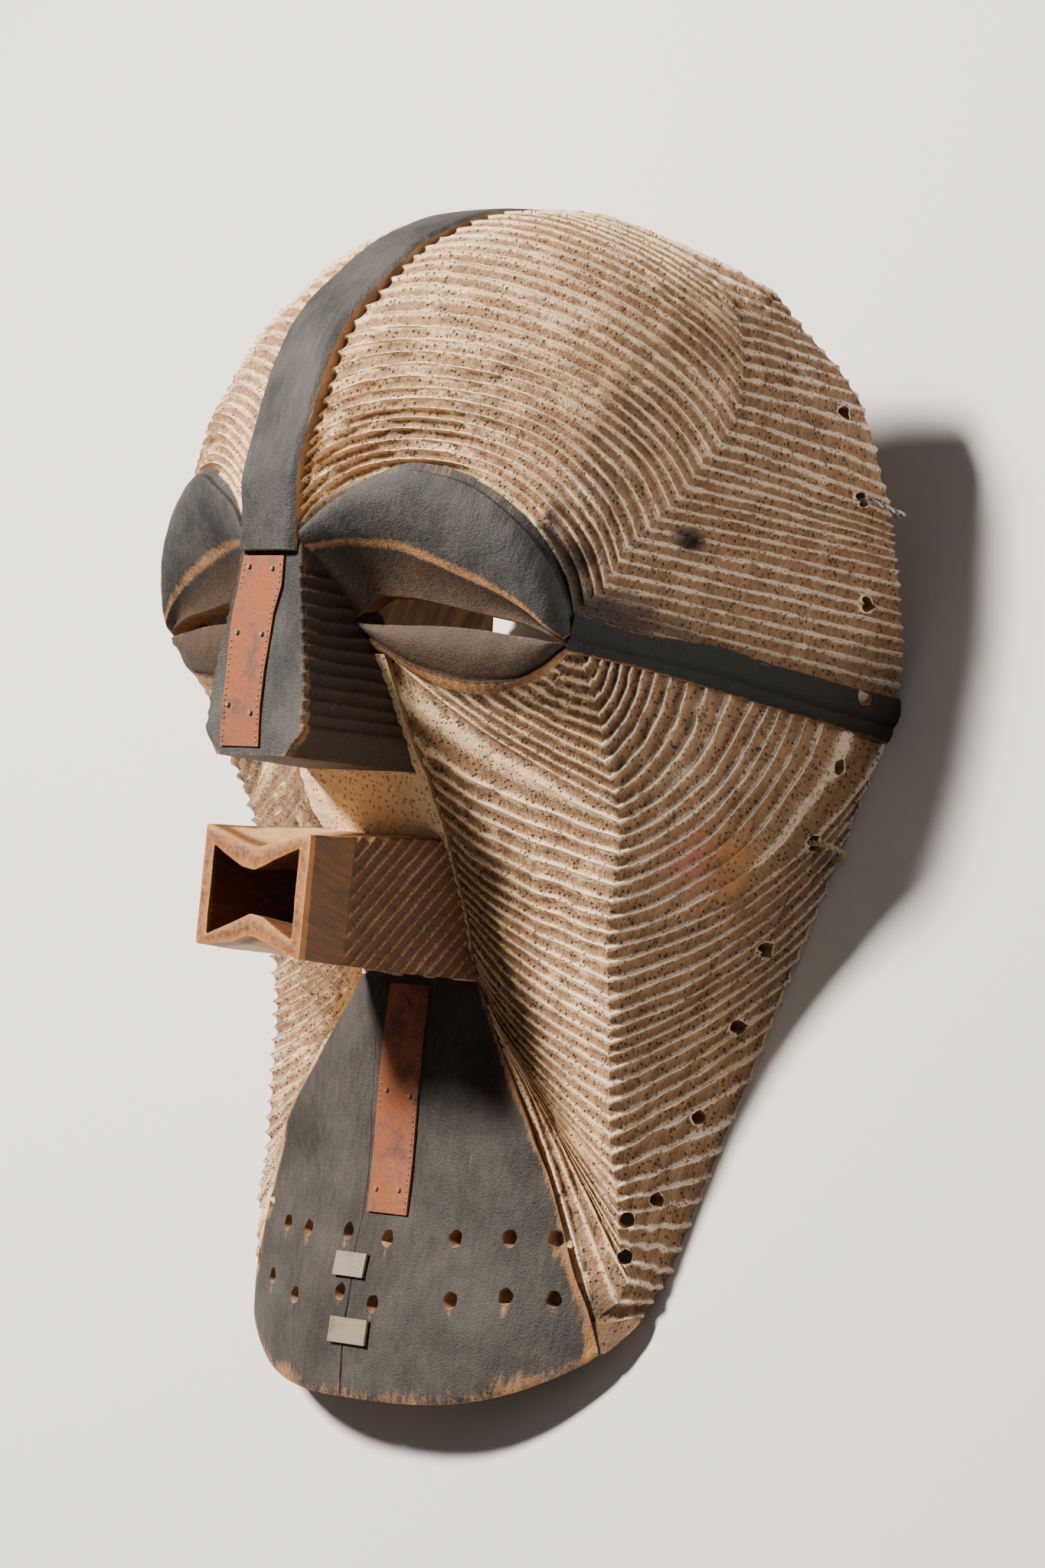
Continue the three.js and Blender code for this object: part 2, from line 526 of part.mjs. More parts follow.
// Holes by position on the upright face; the side holes are bored across, the chin holes inwards.
const sideHoles = [[164, -44], [130, -46], [89, -48], [52.5, -47.5], [24, -41], [-6.5, -35], [-50, -19.5],
  [-81, -11], [-117, 2], [-150, 17], [-160, 33], [-174, 32]];
const chinHoles = [[-89, -168], [-68.5, -175], [-50, -176], [-20, -175], [6, -176], [43, -173], [69, -170.5],
  [89, -169], [-98, -190], [-77, -197], [-52, -203], [-17, -199], [5, -202], [46, -197], [71, -193],
  [91, -192]];

function holes() {
  const list = [];
  for (const [y, z] of sideHoles) {
    for (const sign of [1, -1]) {
      const outside = z < 25 ? v3(sign * 140, y, z - 2) : v3(sign * 128, y - 1, z + 11);
      const inside = z < 25 ? v3(sign * 92, y, z + 3) : v3(sign * 82, y + 7, z - 32);
      list.push(prism(inside, outside, rimHole / 2, 5));
    }
  }
  for (const [x, y] of chinHoles) {
    const z = chinSurface(x, y);
    list.push(prism(v3(0.88 * x, y + 5, z - 34), v3(x * 1.02, y - 1, z + 6), chinHole / 2, 5));
  }
  return list;
}

// Drying crack from under the mouth to the bottom edge, open right through near the edge.
const crackLine = [[-89, -18.4], [-123, -15.7], [-156, -13.1], [-180, -12.6], [-201, -10.7], [-222, -9.6],
  [-246, -7.4]];
function crack() {
  const rings = crackLine.map(([y, x], i) => {
    const half = (crackWide / 2) * (0.35 + (0.65 * i) / (crackLine.length - 1));
    const z = chinSurface(x, Math.max(y, -240));
    const deep = i < 4 ? crackDeep : 40;
    return [v3(x - half, y, z + 4), v3(x + half, y, z + 4), v3(x + half * 0.6, y, z - deep),
      v3(x - half * 0.6, y, z - deep)];
  });
  return loft(rings);
}

// Nails: [x, y] on the strip, the surface under it as a function.
const noseNails = [[-10.7, 78.4], [4, 77.7], [-14.2, 52.6], [1.4, 52.1], [-15.4, 24.4], [-0.8, 21.4]];
const chinNails = [[0, -83.3], [-5.9, -118.2], [8.7, -119.8], [-5, -157.3], [8.9, -156.9]];
const noseLevel = () => noseFrontZ;

function nailSocket(x, y, level, radius) {
  const z = level(x, y);
  return prism(v3(x, y, z - nailLength - 1), v3(x, y, z + 6), radius, 6);
}
function nail(x, y, level) {
  const z = level(x, y) + restGap + stripThick + restGap + nailLift;
  const ring = (zz, r) => Array.from({ length: 6 }, (_, i) => {
    const angle = (Math.PI * (2 * i + 1)) / 6;
    return v3(x + r * Math.cos(angle), y + r * Math.sin(angle), zz);
  });
  return loft([ring(level(x, y) - nailLength, nailShank / 2), ring(z, nailShank / 2), ring(z, nailHead / 2),
    ring(z + 0.45, nailHead * 0.38)]);
}

// Copper strip over a wood surface: rows of left, middle and right points.
const noseStripEdge = [[82.6, -15.1, 10], [71, -16.6, 10.3], [60, -18.8, 7], [52, -19.2, 6.4],
  [38, -19, 4.8], [24, -19.4, 4.4], [8.3, -18.3, 5.8]];
const chinStripEdge = [[-76, -12.7, 11.7], [-97, -12, 12.2], [-120, -11.6, 13.2], [-145, -10.4, 14.2],
  [-166.5, -9, 15.3]];
function strip(edges, level, nails) {
  const place = (rise) => edges.map(([y, left, right]) => [left, (left + right) / 2, right]
    .map((x) => v3(x, y, level(x, y) + rise)));
  const plain = between(place(restGap + stripThick), place(restGap));
  return plain.subtract(join(nails.map(([x, y]) => nailSocket(x, y, level, nailShank / 2 + nailClear))));
}

// Tin repair plate bridging the crack, with a prong into the wood on each side of it.
const plates = [[-12.4, -188, 20, 9.5], [-6.5, -214, 24, 10]];
const prongWide = 1.6;
function prongAt([x, y, wide], sign) {
  return v3(x + sign * (wide / 2 - 1.6), y, 0);
}
function plateBox(centre, wide, tall, low, high) {
  const tip = [[-1, -1], [1, -1], [1, 1], [-1, 1]];
  const ring = (rise) => tip.map(([a, b]) => {
    const x = centre.x + (a * wide) / 2;
    const y = centre.y + (b * tall) / 2;
    return v3(x, y, chinSurface(x, y) + rise);
  });
  return loft([ring(low), ring(high)]);
}
function plate(place) {
  const [x, y, wide, tall] = place;
  const lift = restGap + 0.5;
  const sheet = plateBox(v3(x, y, 0), wide, tall, lift, lift + plateThick);
  const prong = (side) => plateBox(prongAt(place, side), prongWide, tall * 0.4, -prongDeep, lift + 0.4);
  const prongs = [prong(1), prong(-1)];
  return sheet.add(prongs[0]).add(prongs[1]);
}
const prongSockets = (place) => [1, -1].map((s) => plateBox(prongAt(place, s), prongWide + 2 * nailClear,
  tall(place) * 0.4 + 2 * nailClear, -prongDeep - 0.6, 3));
function tall(place) {
  return place[3];
}

// Twine tied through a side hole and round the rim, lying in a worn notch.
const cordHole = [-6.5, -35];
function cordPath() {
  const [y, z] = cordHole;
  const lowest = railStart - railSlope * (y - 6) + 0.8 + cordThick / 2;
  return [v3(126, y, z), v3(132.2, y - 0.5, z - 1.5), v3(133, y - 3, z - 9), v3(131.6, y - 5, lowest + 0.4),
    v3(126, y - 6, lowest), v3(117.5, y - 5, lowest + 0.5), v3(112.5, y - 3, z - 8), v3(114, y - 1, z - 1),
    v3(119, y, z + 0.3)];
}
function tube(path, radius, n) {
  const count = path.length;
  const points = [];
  const triangles = [];
  for (let i = 0; i < count; i += 1) {
    const ahead = path[(i + 1) % count].clone().sub(path[(i + count - 1) % count]).normalize();
    const side = v3(0, 1, 0).cross(ahead).normalize();
    const up = ahead.clone().cross(side).normalize();
    for (let k = 0; k < n; k += 1) {
      const angle = (2 * Math.PI * k) / n;
      points.push(path[i].clone().addScaledVector(side, radius * Math.cos(angle))
        .addScaledVector(up, radius * Math.sin(angle)));
    }
  }
  for (let i = 0; i < count; i += 1) {
    for (let k = 0; k < n; k += 1) {
      const a = i * n + k;
      const b = i * n + ((k + 1) % n);
      const c = ((i + 1) % count) * n + ((k + 1) % n);
      const d = ((i + 1) % count) * n + k;
      triangles.push([a, b, c], [a, c, d]);
    }
  }
  return solid(points, triangles);
}

// Thin thread knotted through another side hole: it leaves the hole and bends over the rim.
function thread() {
  const path = [v3(116, 130, -46), v3(122, 129.9, -46.2), v3(127.8, 129.4, -47.2), v3(129.3, 128.2, -52),
    v3(128.9, 127, -59), v3(127.2, 126.4, -65), v3(123, 126.2, -66), v3(118.5, 126.8, -65.4)];
  const rings = path.map((p, i) => {
    const ahead = path[Math.min(i + 1, path.length - 1)].clone().sub(path[Math.max(i - 1, 0)]).normalize();
    const side = v3(0, 1, 0).cross(ahead).normalize();
    const up = ahead.clone().cross(side);
    return Array.from({ length: 6 }, (_, k) => p.clone()
      .addScaledVector(side, (threadThick / 2) * Math.cos((Math.PI * k) / 3))
      .addScaledVector(up, (threadThick / 2) * Math.sin((Math.PI * k) / 3)));
  });
  return loft(rings);
}

function box(a, b) {
  const ring = (z) => [v3(a.x, a.y, z), v3(b.x, a.y, z), v3(b.x, b.y, z), v3(a.x, b.y, z)];
  return loft([ring(a.z), ring(b.z)]);
}

// Everything beyond the plane of the side rims is cut away, which leaves two flat rails.
function beyondRims() {
  const wide = 200;
  const at = (y, depth) => [-wide, wide].map((x) => v3(x, y, railStart - railSlope * y - depth));
  const corners = (y) => [...at(y, 0), ...at(y, 60).reverse()];
  return loft([corners(-300), corners(300)]);
}

// The lower grooves end in one more row that runs on below the chin plate and its corner.
function lowerRows() {
  const rows = groovedRows(lowerGrooves, lowerCurve, sideColumns + cheekColumns, borderTuck);
  const last = rows[rows.length - 1];
  return [...rows, last.map((p) => sunk(p, 2.5).add(v3(-2.5, -2.5, 0)))];
}

function carvedWood() {
  const upper = groovedRows(upperGrooves, upperCurve, templeColumns + foreheadColumns);
  const every = 2 * groovesPerStep;
  const parts = [...bothSides(upper, skin, every), ...bothSides(lowerRows(), skin, every),
    ...bothSides(eyeRows(), skin, 3), ...bothSides(bandRows(), skin), ...bothSides(cornerRows(), skin),
    slab(crestRows(), skin), slab(chinRows(), skin), slab(middleRows(), skin)];
  const block = join(parts).subtract(hollow());
  const carvedNose = nose().subtract(noseCuts(1)).subtract(noseCuts(-1));
  const carvedMouth = mouthBox().subtract(mouthGrooves(1)).subtract(mouthGrooves(-1));
  const full = block.add(carvedNose).add(carvedMouth);
  const cuts = [hollow(), mouthHollow(), slitCutter(1), slitCutter(-1), ...holes(), crack(), beyondRims()];
  for (const [x, y] of noseNails) {
    cuts.push(nailSocket(x, y, noseLevel, nailShank / 2 + nailClear));
  }
  for (const [x, y] of chinNails) {
    cuts.push(nailSocket(x, y, chinSurface, nailShank / 2 + nailClear));
  }
  for (const place of plates) {
    cuts.push(...prongSockets(place));
  }
  const [y, z] = cordHole;
  const rim = railStart - railSlope * (y - 6);
  cuts.push(box(v3(108, y - 8.5, rim - 6), v3(140, y - 1.5, rim + 4.8)));
  return cuts.reduce((wood, cut) => wood.subtract(cut), full);
}

// Turns a solid into a mesh lying on its rims, moved by the shift of the whole mask.
function lay(p, shift) {
  const c = Math.cos(lieAngle);
  const s = Math.sin(lieAngle);
  return v3(p.x + shift.x, p.y * c - p.z * s + shift.y, p.y * s + p.z * c + shift.z);
}
function pointsOf(shape) {
  const mesh = shape.getMesh();
  const points = [];
  for (let i = 0; i < mesh.vertProperties.length; i += mesh.numProp) {
    points.push(v3(mesh.vertProperties[i], mesh.vertProperties[i + 1], mesh.vertProperties[i + 2]));
  }
  return { points, faces: Array.from(mesh.triVerts) };
}
// Corners kept as cut: round the nails, the prongs and the twine, and under the copper strips.
function isKept(p) {
  const nearNail = [...noseNails, ...chinNails].some(([x, y]) => Math.hypot(p.x - x, p.y - y) < 2.5);
  const nearPlate = Math.abs(p.x + 10) < 16 && p.y < -178 && p.y > -222;
  const nearTwine = Math.abs(p.x) > 100 && Math.abs(p.y + 6) < 8 && p.z < -22;
  return (p.z > 20 && (nearNail || nearPlate)) || nearTwine || (Math.abs(p.x) < 18 && p.y < -72 && p.z > 53);
}
// Corners on the plane of the side rims stay on it.
const isOnRails = (p) => Math.abs(p.z - railStart + railSlope * p.y) < 0.01;
// Merges needless corners: each merge moves a corner onto a neighbour that lies within the slack
// of every facet plane that the corner has stood for.
function simplified({ points, faces }) {
  const triangles = [];
  for (let i = 0; i < faces.length; i += 3) {
    triangles.push([faces[i], faces[i + 1], faces[i + 2]]);
  }
  const around = points.map(() => new Set());
  const planes = points.map(() => []);
  const normalOf = (a, b, c) => b.clone().sub(a).cross(c.clone().sub(a));
  triangles.forEach((tri, i) => {
    const normal = normalOf(...tri.map((k) => points[k]));
    const area = normal.length() / 2;
    normal.normalize();
    for (const k of tri) {
      around[k].add(i);
      if (area > 0.02) {
        planes[k].push([normal, normal.dot(points[k])]);
      }
    }
  });
  const kept = points.map(isKept);
  const neighbours = (k) => new Set([...around[k]].flatMap((i) => triangles[i]).filter((j) => j !== k));
  const gap = (from, to) => planes[from]
    .reduce((most, [n, d]) => Math.max(most, Math.abs(n.dot(points[to]) - d)), 0);
  const onRails = points.map(isOnRails);
  const mayMerge = (from, to) => {
    if (onRails[from] && !onRails[to]) {
      return false;
    }
    const others = neighbours(to);
    if ([...neighbours(from)].filter((k) => others.has(k)).length !== 2) {
      return false;
    }
    return [...around[from]].every((i) => {
      const tri = triangles[i];
      if (tri.includes(to)) {
        return true;
      }
      const before = normalOf(...tri.map((k) => points[k]));
      const after = normalOf(...tri.map((k) => points[k === from ? to : k]));
      const turn = before.dot(after) / (before.length() * after.length() + 1e-9);
      return after.length() > 0.04 && (turn > 0.8 || before.length() < 0.04);
    });
  };
  for (let pass = 0; pass < 14; pass += 1) {
    const wanted = [];
    points.forEach((_, from) => {
      if (!kept[from] && around[from].size > 0) {
        for (const to of neighbours(from)) {
          const apart = points[from].distanceTo(points[to]);
          const cost = apart < 0.06 ? 0 : gap(from, to);
          if (cost < slack) {
            wanted.push([cost + 0.002 * apart, from, to]);
          }
        }
      }
    });
    wanted.sort((a, b) => a[0] - b[0]);
    const touched = new Set();
    let merged = 0;
    for (const [, from, to] of wanted) {
      if (!touched.has(from) && !touched.has(to) && mayMerge(from, to)) {
        neighbours(from).forEach((k) => touched.add(k));
        touched.add(from);
        for (const i of around[from]) {
          if (triangles[i].includes(to)) {
            triangles[i].forEach((k) => k !== from && around[k].delete(i));
            triangles[i] = [];
          } else {
            triangles[i] = triangles[i].map((k) => (k === from ? to : k));
            around[to].add(i);
          }
        }
        around[from].clear();
        planes[to].push(...planes[from]);
        merged += 1;
      }
    }
    if (merged === 0) {
      break;
    }
  }
  return { points, faces: triangles.flat() };
}
// A node is a named solid with its material, still upright as drawn.
const nodes = [];
function addNode(name, shape, made) {
  nodes.push({ name, material: made, ...shape });
}
function addMesh(group, node, shift) {
  const laid = node.faces.map((i) => lay(node.points[i], shift));
  const geometry = new BufferGeometry();
  const corners = Float32Array.from(laid.flatMap((p) => [p.x, p.y, p.z]));
  geometry.setAttribute("position", new BufferAttribute(corners, 3));
  geometry.computeVertexNormals();
  const mesh = new Mesh(geometry, node.material);
  mesh.name = node.name;
  group.add(mesh);
}

const material = (name, color, roughness, metalness) => {
  const made = new MeshStandardMaterial({ color, roughness, metalness });
  made.name = name;
  return made;
};
const wood = material("carved_wood", 0xb89b74, 0.85, 0);
const copper = material("copper", 0x8c4a30, 0.45, 0.9);
const nailMetal = material("nail_metal", 0x9a8e80, 0.5, 0.9);
const tin = material("tin_plate", 0x8f8a78, 0.5, 0.85);
const threadGrey = material("thread", 0xb9b2a2, 0.9, 0);
const twine = material("twine", 0xa98f68, 0.9, 0);

addNode("carved_mask", simplified(pointsOf(carvedWood())), wood);
addNode("nose_strip", pointsOf(strip(noseStripEdge, noseLevel, noseNails)), copper);
addNode("chin_strip", pointsOf(strip(chinStripEdge, chinSurface, chinNails)), copper);
for (const [kind, nails, level] of [["nose", noseNails, noseLevel], ["chin", chinNails, chinSurface]]) {
  nails.forEach(([x, y], i) => addNode(`${kind}_nail_${i + 1}`, pointsOf(nail(x, y, level)), nailMetal));
}
addNode("repair_plate_upper", pointsOf(plate(plates[0])), tin);
addNode("repair_plate_lower", pointsOf(plate(plates[1])), tin);
addNode("rim_thread", pointsOf(thread()), threadGrey);
addNode("cord_loop", pointsOf(tube(cordPath(), cordThick / 2, 8)), twine);

// The origin is under the middle of the whole object, on the plane that its rims rest on.
const low = v3(Infinity, Infinity, Infinity);
const high = v3(-Infinity, -Infinity, -Infinity);
for (const node of nodes) {
  for (const i of node.faces) {
    const p = lay(node.points[i], v3(0, 0, 0));
    low.min(p);
    high.max(p);
  }
}
const shift = v3(-(low.x + high.x) / 2, -(low.y + high.y) / 2, -low.z);
const group = new Group();
group.name = "kifwebe_mask";
nodes.forEach((node) => addMesh(group, node, shift));

export default group;
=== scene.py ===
# Looks of a carved kifwebe mask that lies on its rim, seen from above at the photograph's angle.
# Its curves are drawn on the upright face in millimetres: X to the viewer's right, Y up, Z outwards.
import math

import bpy
import numpy as np
from mathutils import Matrix


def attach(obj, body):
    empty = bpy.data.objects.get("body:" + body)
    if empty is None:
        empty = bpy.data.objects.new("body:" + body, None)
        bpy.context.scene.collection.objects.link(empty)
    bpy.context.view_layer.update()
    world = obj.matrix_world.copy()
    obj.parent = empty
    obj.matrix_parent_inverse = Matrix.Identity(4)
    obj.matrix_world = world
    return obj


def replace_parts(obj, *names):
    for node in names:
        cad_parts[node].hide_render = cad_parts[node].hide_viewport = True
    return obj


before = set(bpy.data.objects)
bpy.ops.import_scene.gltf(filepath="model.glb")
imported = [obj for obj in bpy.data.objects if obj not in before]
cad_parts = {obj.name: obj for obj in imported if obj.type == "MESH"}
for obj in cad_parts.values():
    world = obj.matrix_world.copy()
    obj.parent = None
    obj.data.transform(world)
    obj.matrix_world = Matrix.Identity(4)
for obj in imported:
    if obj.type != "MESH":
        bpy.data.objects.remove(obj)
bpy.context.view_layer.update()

# The upright face is laid back by the slope of its side rims, then moved onto the frame.
pose = {"slope": 0.346, "shift": (-0.7007, 14.2053, 48.7636)}
lieAngle = math.atan(pose["slope"])
turnBack = np.array([[1, 0, 0], [0, math.cos(lieAngle), -math.sin(lieAngle)],
                     [0, math.sin(lieAngle), math.cos(lieAngle)]])


# Row frame point in metres = (laid back point + shift) / 1000.
def lay(points):
    return (points @ turnBack.T + np.array(pose["shift"])) / 1000


# Smooth curve through stations [t, values]: cubic pieces whose slopes are harmonic means.
def along(stations, t):
    table = np.array(stations, float)
    x, v = table[:, 0], table[:, 1:]
    t = np.asarray(t, float)
    step = np.diff(v, axis=0) / np.diff(x)[:, None]
    before, after = np.vstack([step[:1], step]), np.vstack([step, step[-1:]])
    same = before * after > 0
    slope = np.where(same, 2 * before * after / np.where(same, before + after, 1), 0)
    i = np.clip(np.searchsorted(x, t, side="right") - 1, 0, len(x) - 2)
    span = (x[i + 1] - x[i])[..., None]
    s = (t[..., None] - x[i][..., None]) / span
    return (v[i] * (2 * s**3 - 3 * s**2 + 1) + v[i + 1] * (3 * s**2 - 2 * s**3)
            + span * (slope[i] * (s**3 - 2 * s**2 + s) + slope[i + 1] * (s**3 - s**2)))


# Whole number hashed from a lattice corner, as a value from 0 to 1.
def cornerValue(ix, iy, iz, seed):
    h = (ix * 374761393 + iy * 668265263 + iz * 1440662683 + seed * 974711) & 0xFFFFFFFF
    h = ((h ^ (h >> 13)) * 1274126177) & 0xFFFFFFFF
    return ((h ^ (h >> 16)) & 0xFFFF) / 65535


# Smooth value noise from -1 to 1: corner values of a cubic lattice blended by smoothstep.
def noise(points, size, seed):
    p = points / size
    low = np.floor(p).astype(np.int64)
    f = p - low
    f = f * f * (3 - 2 * f)
    total = 0
    for corner in range(8):
        dx, dy, dz = corner & 1, corner >> 1 & 1, corner >> 2
        weight = ((f[..., 0] if dx else 1 - f[..., 0]) * (f[..., 1] if dy else 1 - f[..., 1])
                  * (f[..., 2] if dz else 1 - f[..., 2]))
        total = total + weight * cornerValue(low[..., 0] + dx, low[..., 1] + dy, low[..., 2] + dz, seed)
    return 2 * total - 1


# Smoothstep: 0 at a, 1 at b, level at both.
def smooth(a, b, x):
    s = np.clip((x - a) / (b - a), 0, 1)
    return s * s * (3 - 2 * s)


# Depth of the middle axis of the mask: [height, depth].
axisDepth = [[-215, 22.8], [30, -62], [130, -62], [215, -25]]


# Point plus depth times the unit vector towards the axis, at 0.85 of the point's height.
def sunk(p, depth):
    y = 0.85 * p[..., 1]
    aim = np.stack([-p[..., 0], y - p[..., 1], along(axisDepth, y)[..., 0] - p[..., 2]], -1)
    aim = aim / np.linalg.norm(aim, axis=-1, keepdims=True)
    return p + aim * np.broadcast_to(depth, p.shape[:-1])[..., None]


# Point at share s of the way from a to b.
def mix(a, b, s):
    return a + (b - a) * s


# The same point moved by the bow times 4 s (1 - s), which is 1 halfway.
def bowed(a, b, bow, s):
    return mix(a, b, s) + bow * (4 * s * (1 - s))


print("stage: curves")

# Curves of the face: each station is [t, x, y, z]. The bends are directions in millimetres.
rail = {"start": -51.6, "trim": 2.5}
bend = {"temple": (3, 0, 0), "side": (0.35, -0.75, -0.66), "cheek": (-0.7, -0.7, -0.25)}


# Station on the straight part of the rim: z falls by the slope for each millimetre of y.
def railed(t, x, y):
    return [t, x, y, rail["start"] - pose["slope"] * y - rail["trim"]]


upperRim = [[0, 131, 52, -68], [0.08, 131, 67, -69], [0.21, 130, 88, -67], [0.33, 128, 107, -64],
            [0.5, 125, 124, -62], [0.61, 120, 142, -59], [0.73, 111, 168, -54], [0.82, 103, 182, -47],
            [0.9, 93, 195, -38], [1, 84, 208, -29]]
upperKink = [[0, 122, 68, 95.5], [0.08, 123, 77, 85], [0.21, 121, 96, 71], [0.33, 119, 112, 52],
             [0.5, 116, 135, 31], [0.57, 113, 145, 20], [0.67, 107, 162, 9], [0.73, 104, 172, 5],
             [0.82, 98, 187, 2], [0.9, 88, 200, -3], [1, 62, 222, -11]]
upperCrest = [[0, 15, 92, 149.5], [0.12, 15, 112, 150], [0.29, 15, 139, 144.5], [0.44, 15, 167, 137],
              [0.6, 15, 197, 115], [0.74, 15, 217, 91], [0.87, 15, 231, 61], [1, 15, 238.5, 17]]
crestHandle = [[0, 28, 42, -7], [0.29, 38, 22, 0], [0.44, 42, 16, -4], [0.74, 42, 8, -6], [1, 15, -2, -6]]
kinkHandle = [[0, 3, 57, 17], [0.29, 8, 50, 35], [0.44, 8, 42, 42], [0.74, 4, 28, 38], [1, -12, 5, 8]]
lowerRim = [[0, 124.4, 54, 91.5], [0.17, 126.7, 51, 55], [0.23, 127.8, 48.5, 33], [0.29, 128.8, 45.5, 5],
            [0.36, 129.6, 43, -16], [0.415, 130.5, 41, -36], railed(0.455, 131, 37.5),
            railed(0.526, 130, 6), railed(0.578, 129, -23), railed(0.641, 127.5, -48),
            railed(0.7, 126, -71), railed(0.757, 125, -95), railed(0.8, 123, -123),
            railed(0.872, 121, -155), [0.936, 119, -180, 11], [1, 118, -195, 22]]
ridge = [[0, 124, 53.5, 94], [0.09, 120.5, 32, 77.5], [0.17, 118.5, 13, 69.5], [0.23, 117.5, -1, 61],
         [0.29, 115, -15, 55.5], [0.4, 108, -44, 50.5], [0.47, 106, -61, 47.8], [0.56, 105.7, -84, 43],
         [0.64, 106, -102, 41], [0.7, 107, -118, 39.7], [0.76, 108.4, -134, 38], [0.82, 111, -149, 35],
         [0.9, 114, -167, 34], [0.95, 117, -182, 30.5], [0.97, 115, -189, 31.5], [1, 106, -199.5, 35]]
inner = [[0, 122, 53, 96.3], [0.07, 110, 43, 98.5], [0.14, 92, 37, 102], [0.18, 78, 35.5, 106],
         [0.205, 66, 37.5, 109.3], [0.23, 50, 42, 111.6], [0.25, 36, 48.5, 115], [0.27, 37, 26, 103],
         [0.295, 38, 14, 97], [0.335, 40, 2, 90], [0.376, 40, -9, 84], [0.416, 37.5, -20, 75.5],
         [0.467, 37, -31, 70], [0.52, 37, -41, 65], [0.584, 37, -51, 60.7], [0.641, 36.5, -62, 57],
         [0.705, 36, -68, 54.5], [0.751, 35.5, -73, 52.5], [0.8, 38.5, -77, 52.5], [0.86, 43, -84, 52.4],
         [0.93, 48, -90, 52.2], [1, 54.5, -98, 52.1]]
cheekSag = [[0, 0.5], [0.15, 2], [0.3, 6], [0.5, 5], [0.7, 8], [0.85, 3], [1, -6.2]]
sideBow = [[0, 0], [0.1, 2], [0.23, 6], [0.36, 11.5], [0.45, 15], [0.52, 11.5], [0.6, 5.5], [0.7, 1.5],
           [0.8, 0], [1, 0]]
browTop = [[0, 18, 92.5, 149], [1, 30, 103, 146], [2, 46, 111, 143], [3, 66, 117.4, 136], [4, 86, 114, 127],
           [5, 103, 104, 118.3], [6, 114, 92, 110], [7, 121, 76.6, 102.2], [8, 124, 59, 96]]
browEdge = [[0, 18, 86.5, 146.6], [1, 34, 89.5, 137], [2, 50, 89, 129.4], [3, 64, 85.3, 125.9],
            [4, 83, 79, 121.3], [5, 100, 72.5, 115], [6, 112, 66, 110], [7, 119, 60.5, 106],
            [8, 122.5, 57, 99.5]]
slitTop = [[0, 27, 61.5, 125], [1, 35, 71, 117.6], [2, 50, 70.5, 116.5], [3, 66, 68.5, 114.8],
           [4, 85, 65.5, 112], [5, 102, 63, 108.3], [6, 112, 60.5, 105], [7, 118.5, 58, 103],
           [8, 121.5, 56.4, 99.8]]
slitFoot = [[0, 29, 59.5, 124.5], [1, 36, 59.3, 121], [2, 52, 59.4, 118], [3, 66, 59.6, 115.5],
            [4, 85, 59, 111], [5, 100, 57.5, 107.4], [6, 111, 56.5, 104.5], [7, 118.5, 55.6, 102.3],
            [8, 121.5, 55.6, 99.6]]
lidFoot = [[0, 32, 56, 122.5], [1, 36, 54, 121], [2, 50, 47.7, 117], [3, 66, 43.4, 112.3],
           [4, 80, 41.4, 108.4], [5, 98, 42, 104], [6, 111, 47, 100.8], [7, 119, 53, 98.5],
           [8, 121.8, 54.6, 98]]
lidRim = [[0, 32, 50, 116.5], [1, 36, 49, 116], [2, 50, 42, 111.6], [3, 68, 37, 109], [4, 82, 35.6, 105],
          [5, 98, 38.5, 101], [6, 110, 43, 98.5], [7, 118.5, 50, 96.6], [8, 122, 53, 96]]
bandTop = [[0, 123, 66, 95], [0.25, 126, 62, 59], [0.45, 128, 62, 30], [0.65, 129, 58.7, 3],
           [0.85, 130, 56, -24], [1, 131, 52.5, -68]]
bandFoot = [[0, 123, 54, 97], [0.25, 127, 51, 56], [0.45, 128, 48, 28], [0.65, 129, 45, 1],
            [0.85, 130, 42, -25], [1, 131, 37, -68]]
chinEdge = [[0, 34.5, -71, 52.3], [0.2, 57, -103, 52], [0.38, 77, -132, 50.7], [0.48, 84, -146, 46.7],
            [0.58, 91, -163, 44], [0.72, 98, -181.5, 41.3], [0.86, 104.5, -196, 37.5], [1, 109, -212, 33.5]]
chinMiddle = [[0, -72, 55], [0.2, -104, 57], [0.38, -134, 57], [0.48, -151, 57.5], [0.58, -169, 59],
              [0.72, -193, 62.5], [0.86, -216, 64.5], [1, -240.5, 65]]
crestLine = [[0, 84.6, 149.8], [0.1, 112, 152], [0.24, 139, 147.5], [0.38, 167, 139.5], [0.46, 182, 131],
             [0.56, 197, 117.5], [0.66, 212, 101], [0.74, 222, 84.5], [0.83, 230, 67], [0.93, 237, 43],
             [1, 240.5, 23]]


# Temple: from the rim to the kink with one even bow.
def temple(t, s):
    return bowed(along(upperRim, t), along(upperKink, t), np.array(bend["temple"]), s)


# Cubic arc from the temple kink to the crest, steered by a handle at each end.
def forehead(t, s):
    a, d = along(upperKink, t), along(upperCrest, t)
    b, c, r = a + along(kinkHandle, t), d + along(crestHandle, t), 1 - s
    return a * r**3 + b * (3 * r * r * s) + c * (3 * r * s * s) + d * s**3


# Side: from the rim to the ridge, bowed by the table.
def sideFace(t, s):
    return bowed(along(lowerRim, t), along(ridge, t), np.array(bend["side"]) * along(sideBow, t), s)


# Cheek: from the ridge to the inner crease, sagging by 4 s (1 - s) and more near the crease.
def cheek(t, s):
    reach = 4 * s * (1 - s) * (0.6 + 0.8 * s)
    sag = np.array(bend["cheek"]) * along(cheekSag, t)
    return mix(along(ridge, t), along(inner, t), s) + sag * reach


print("stage: materials")


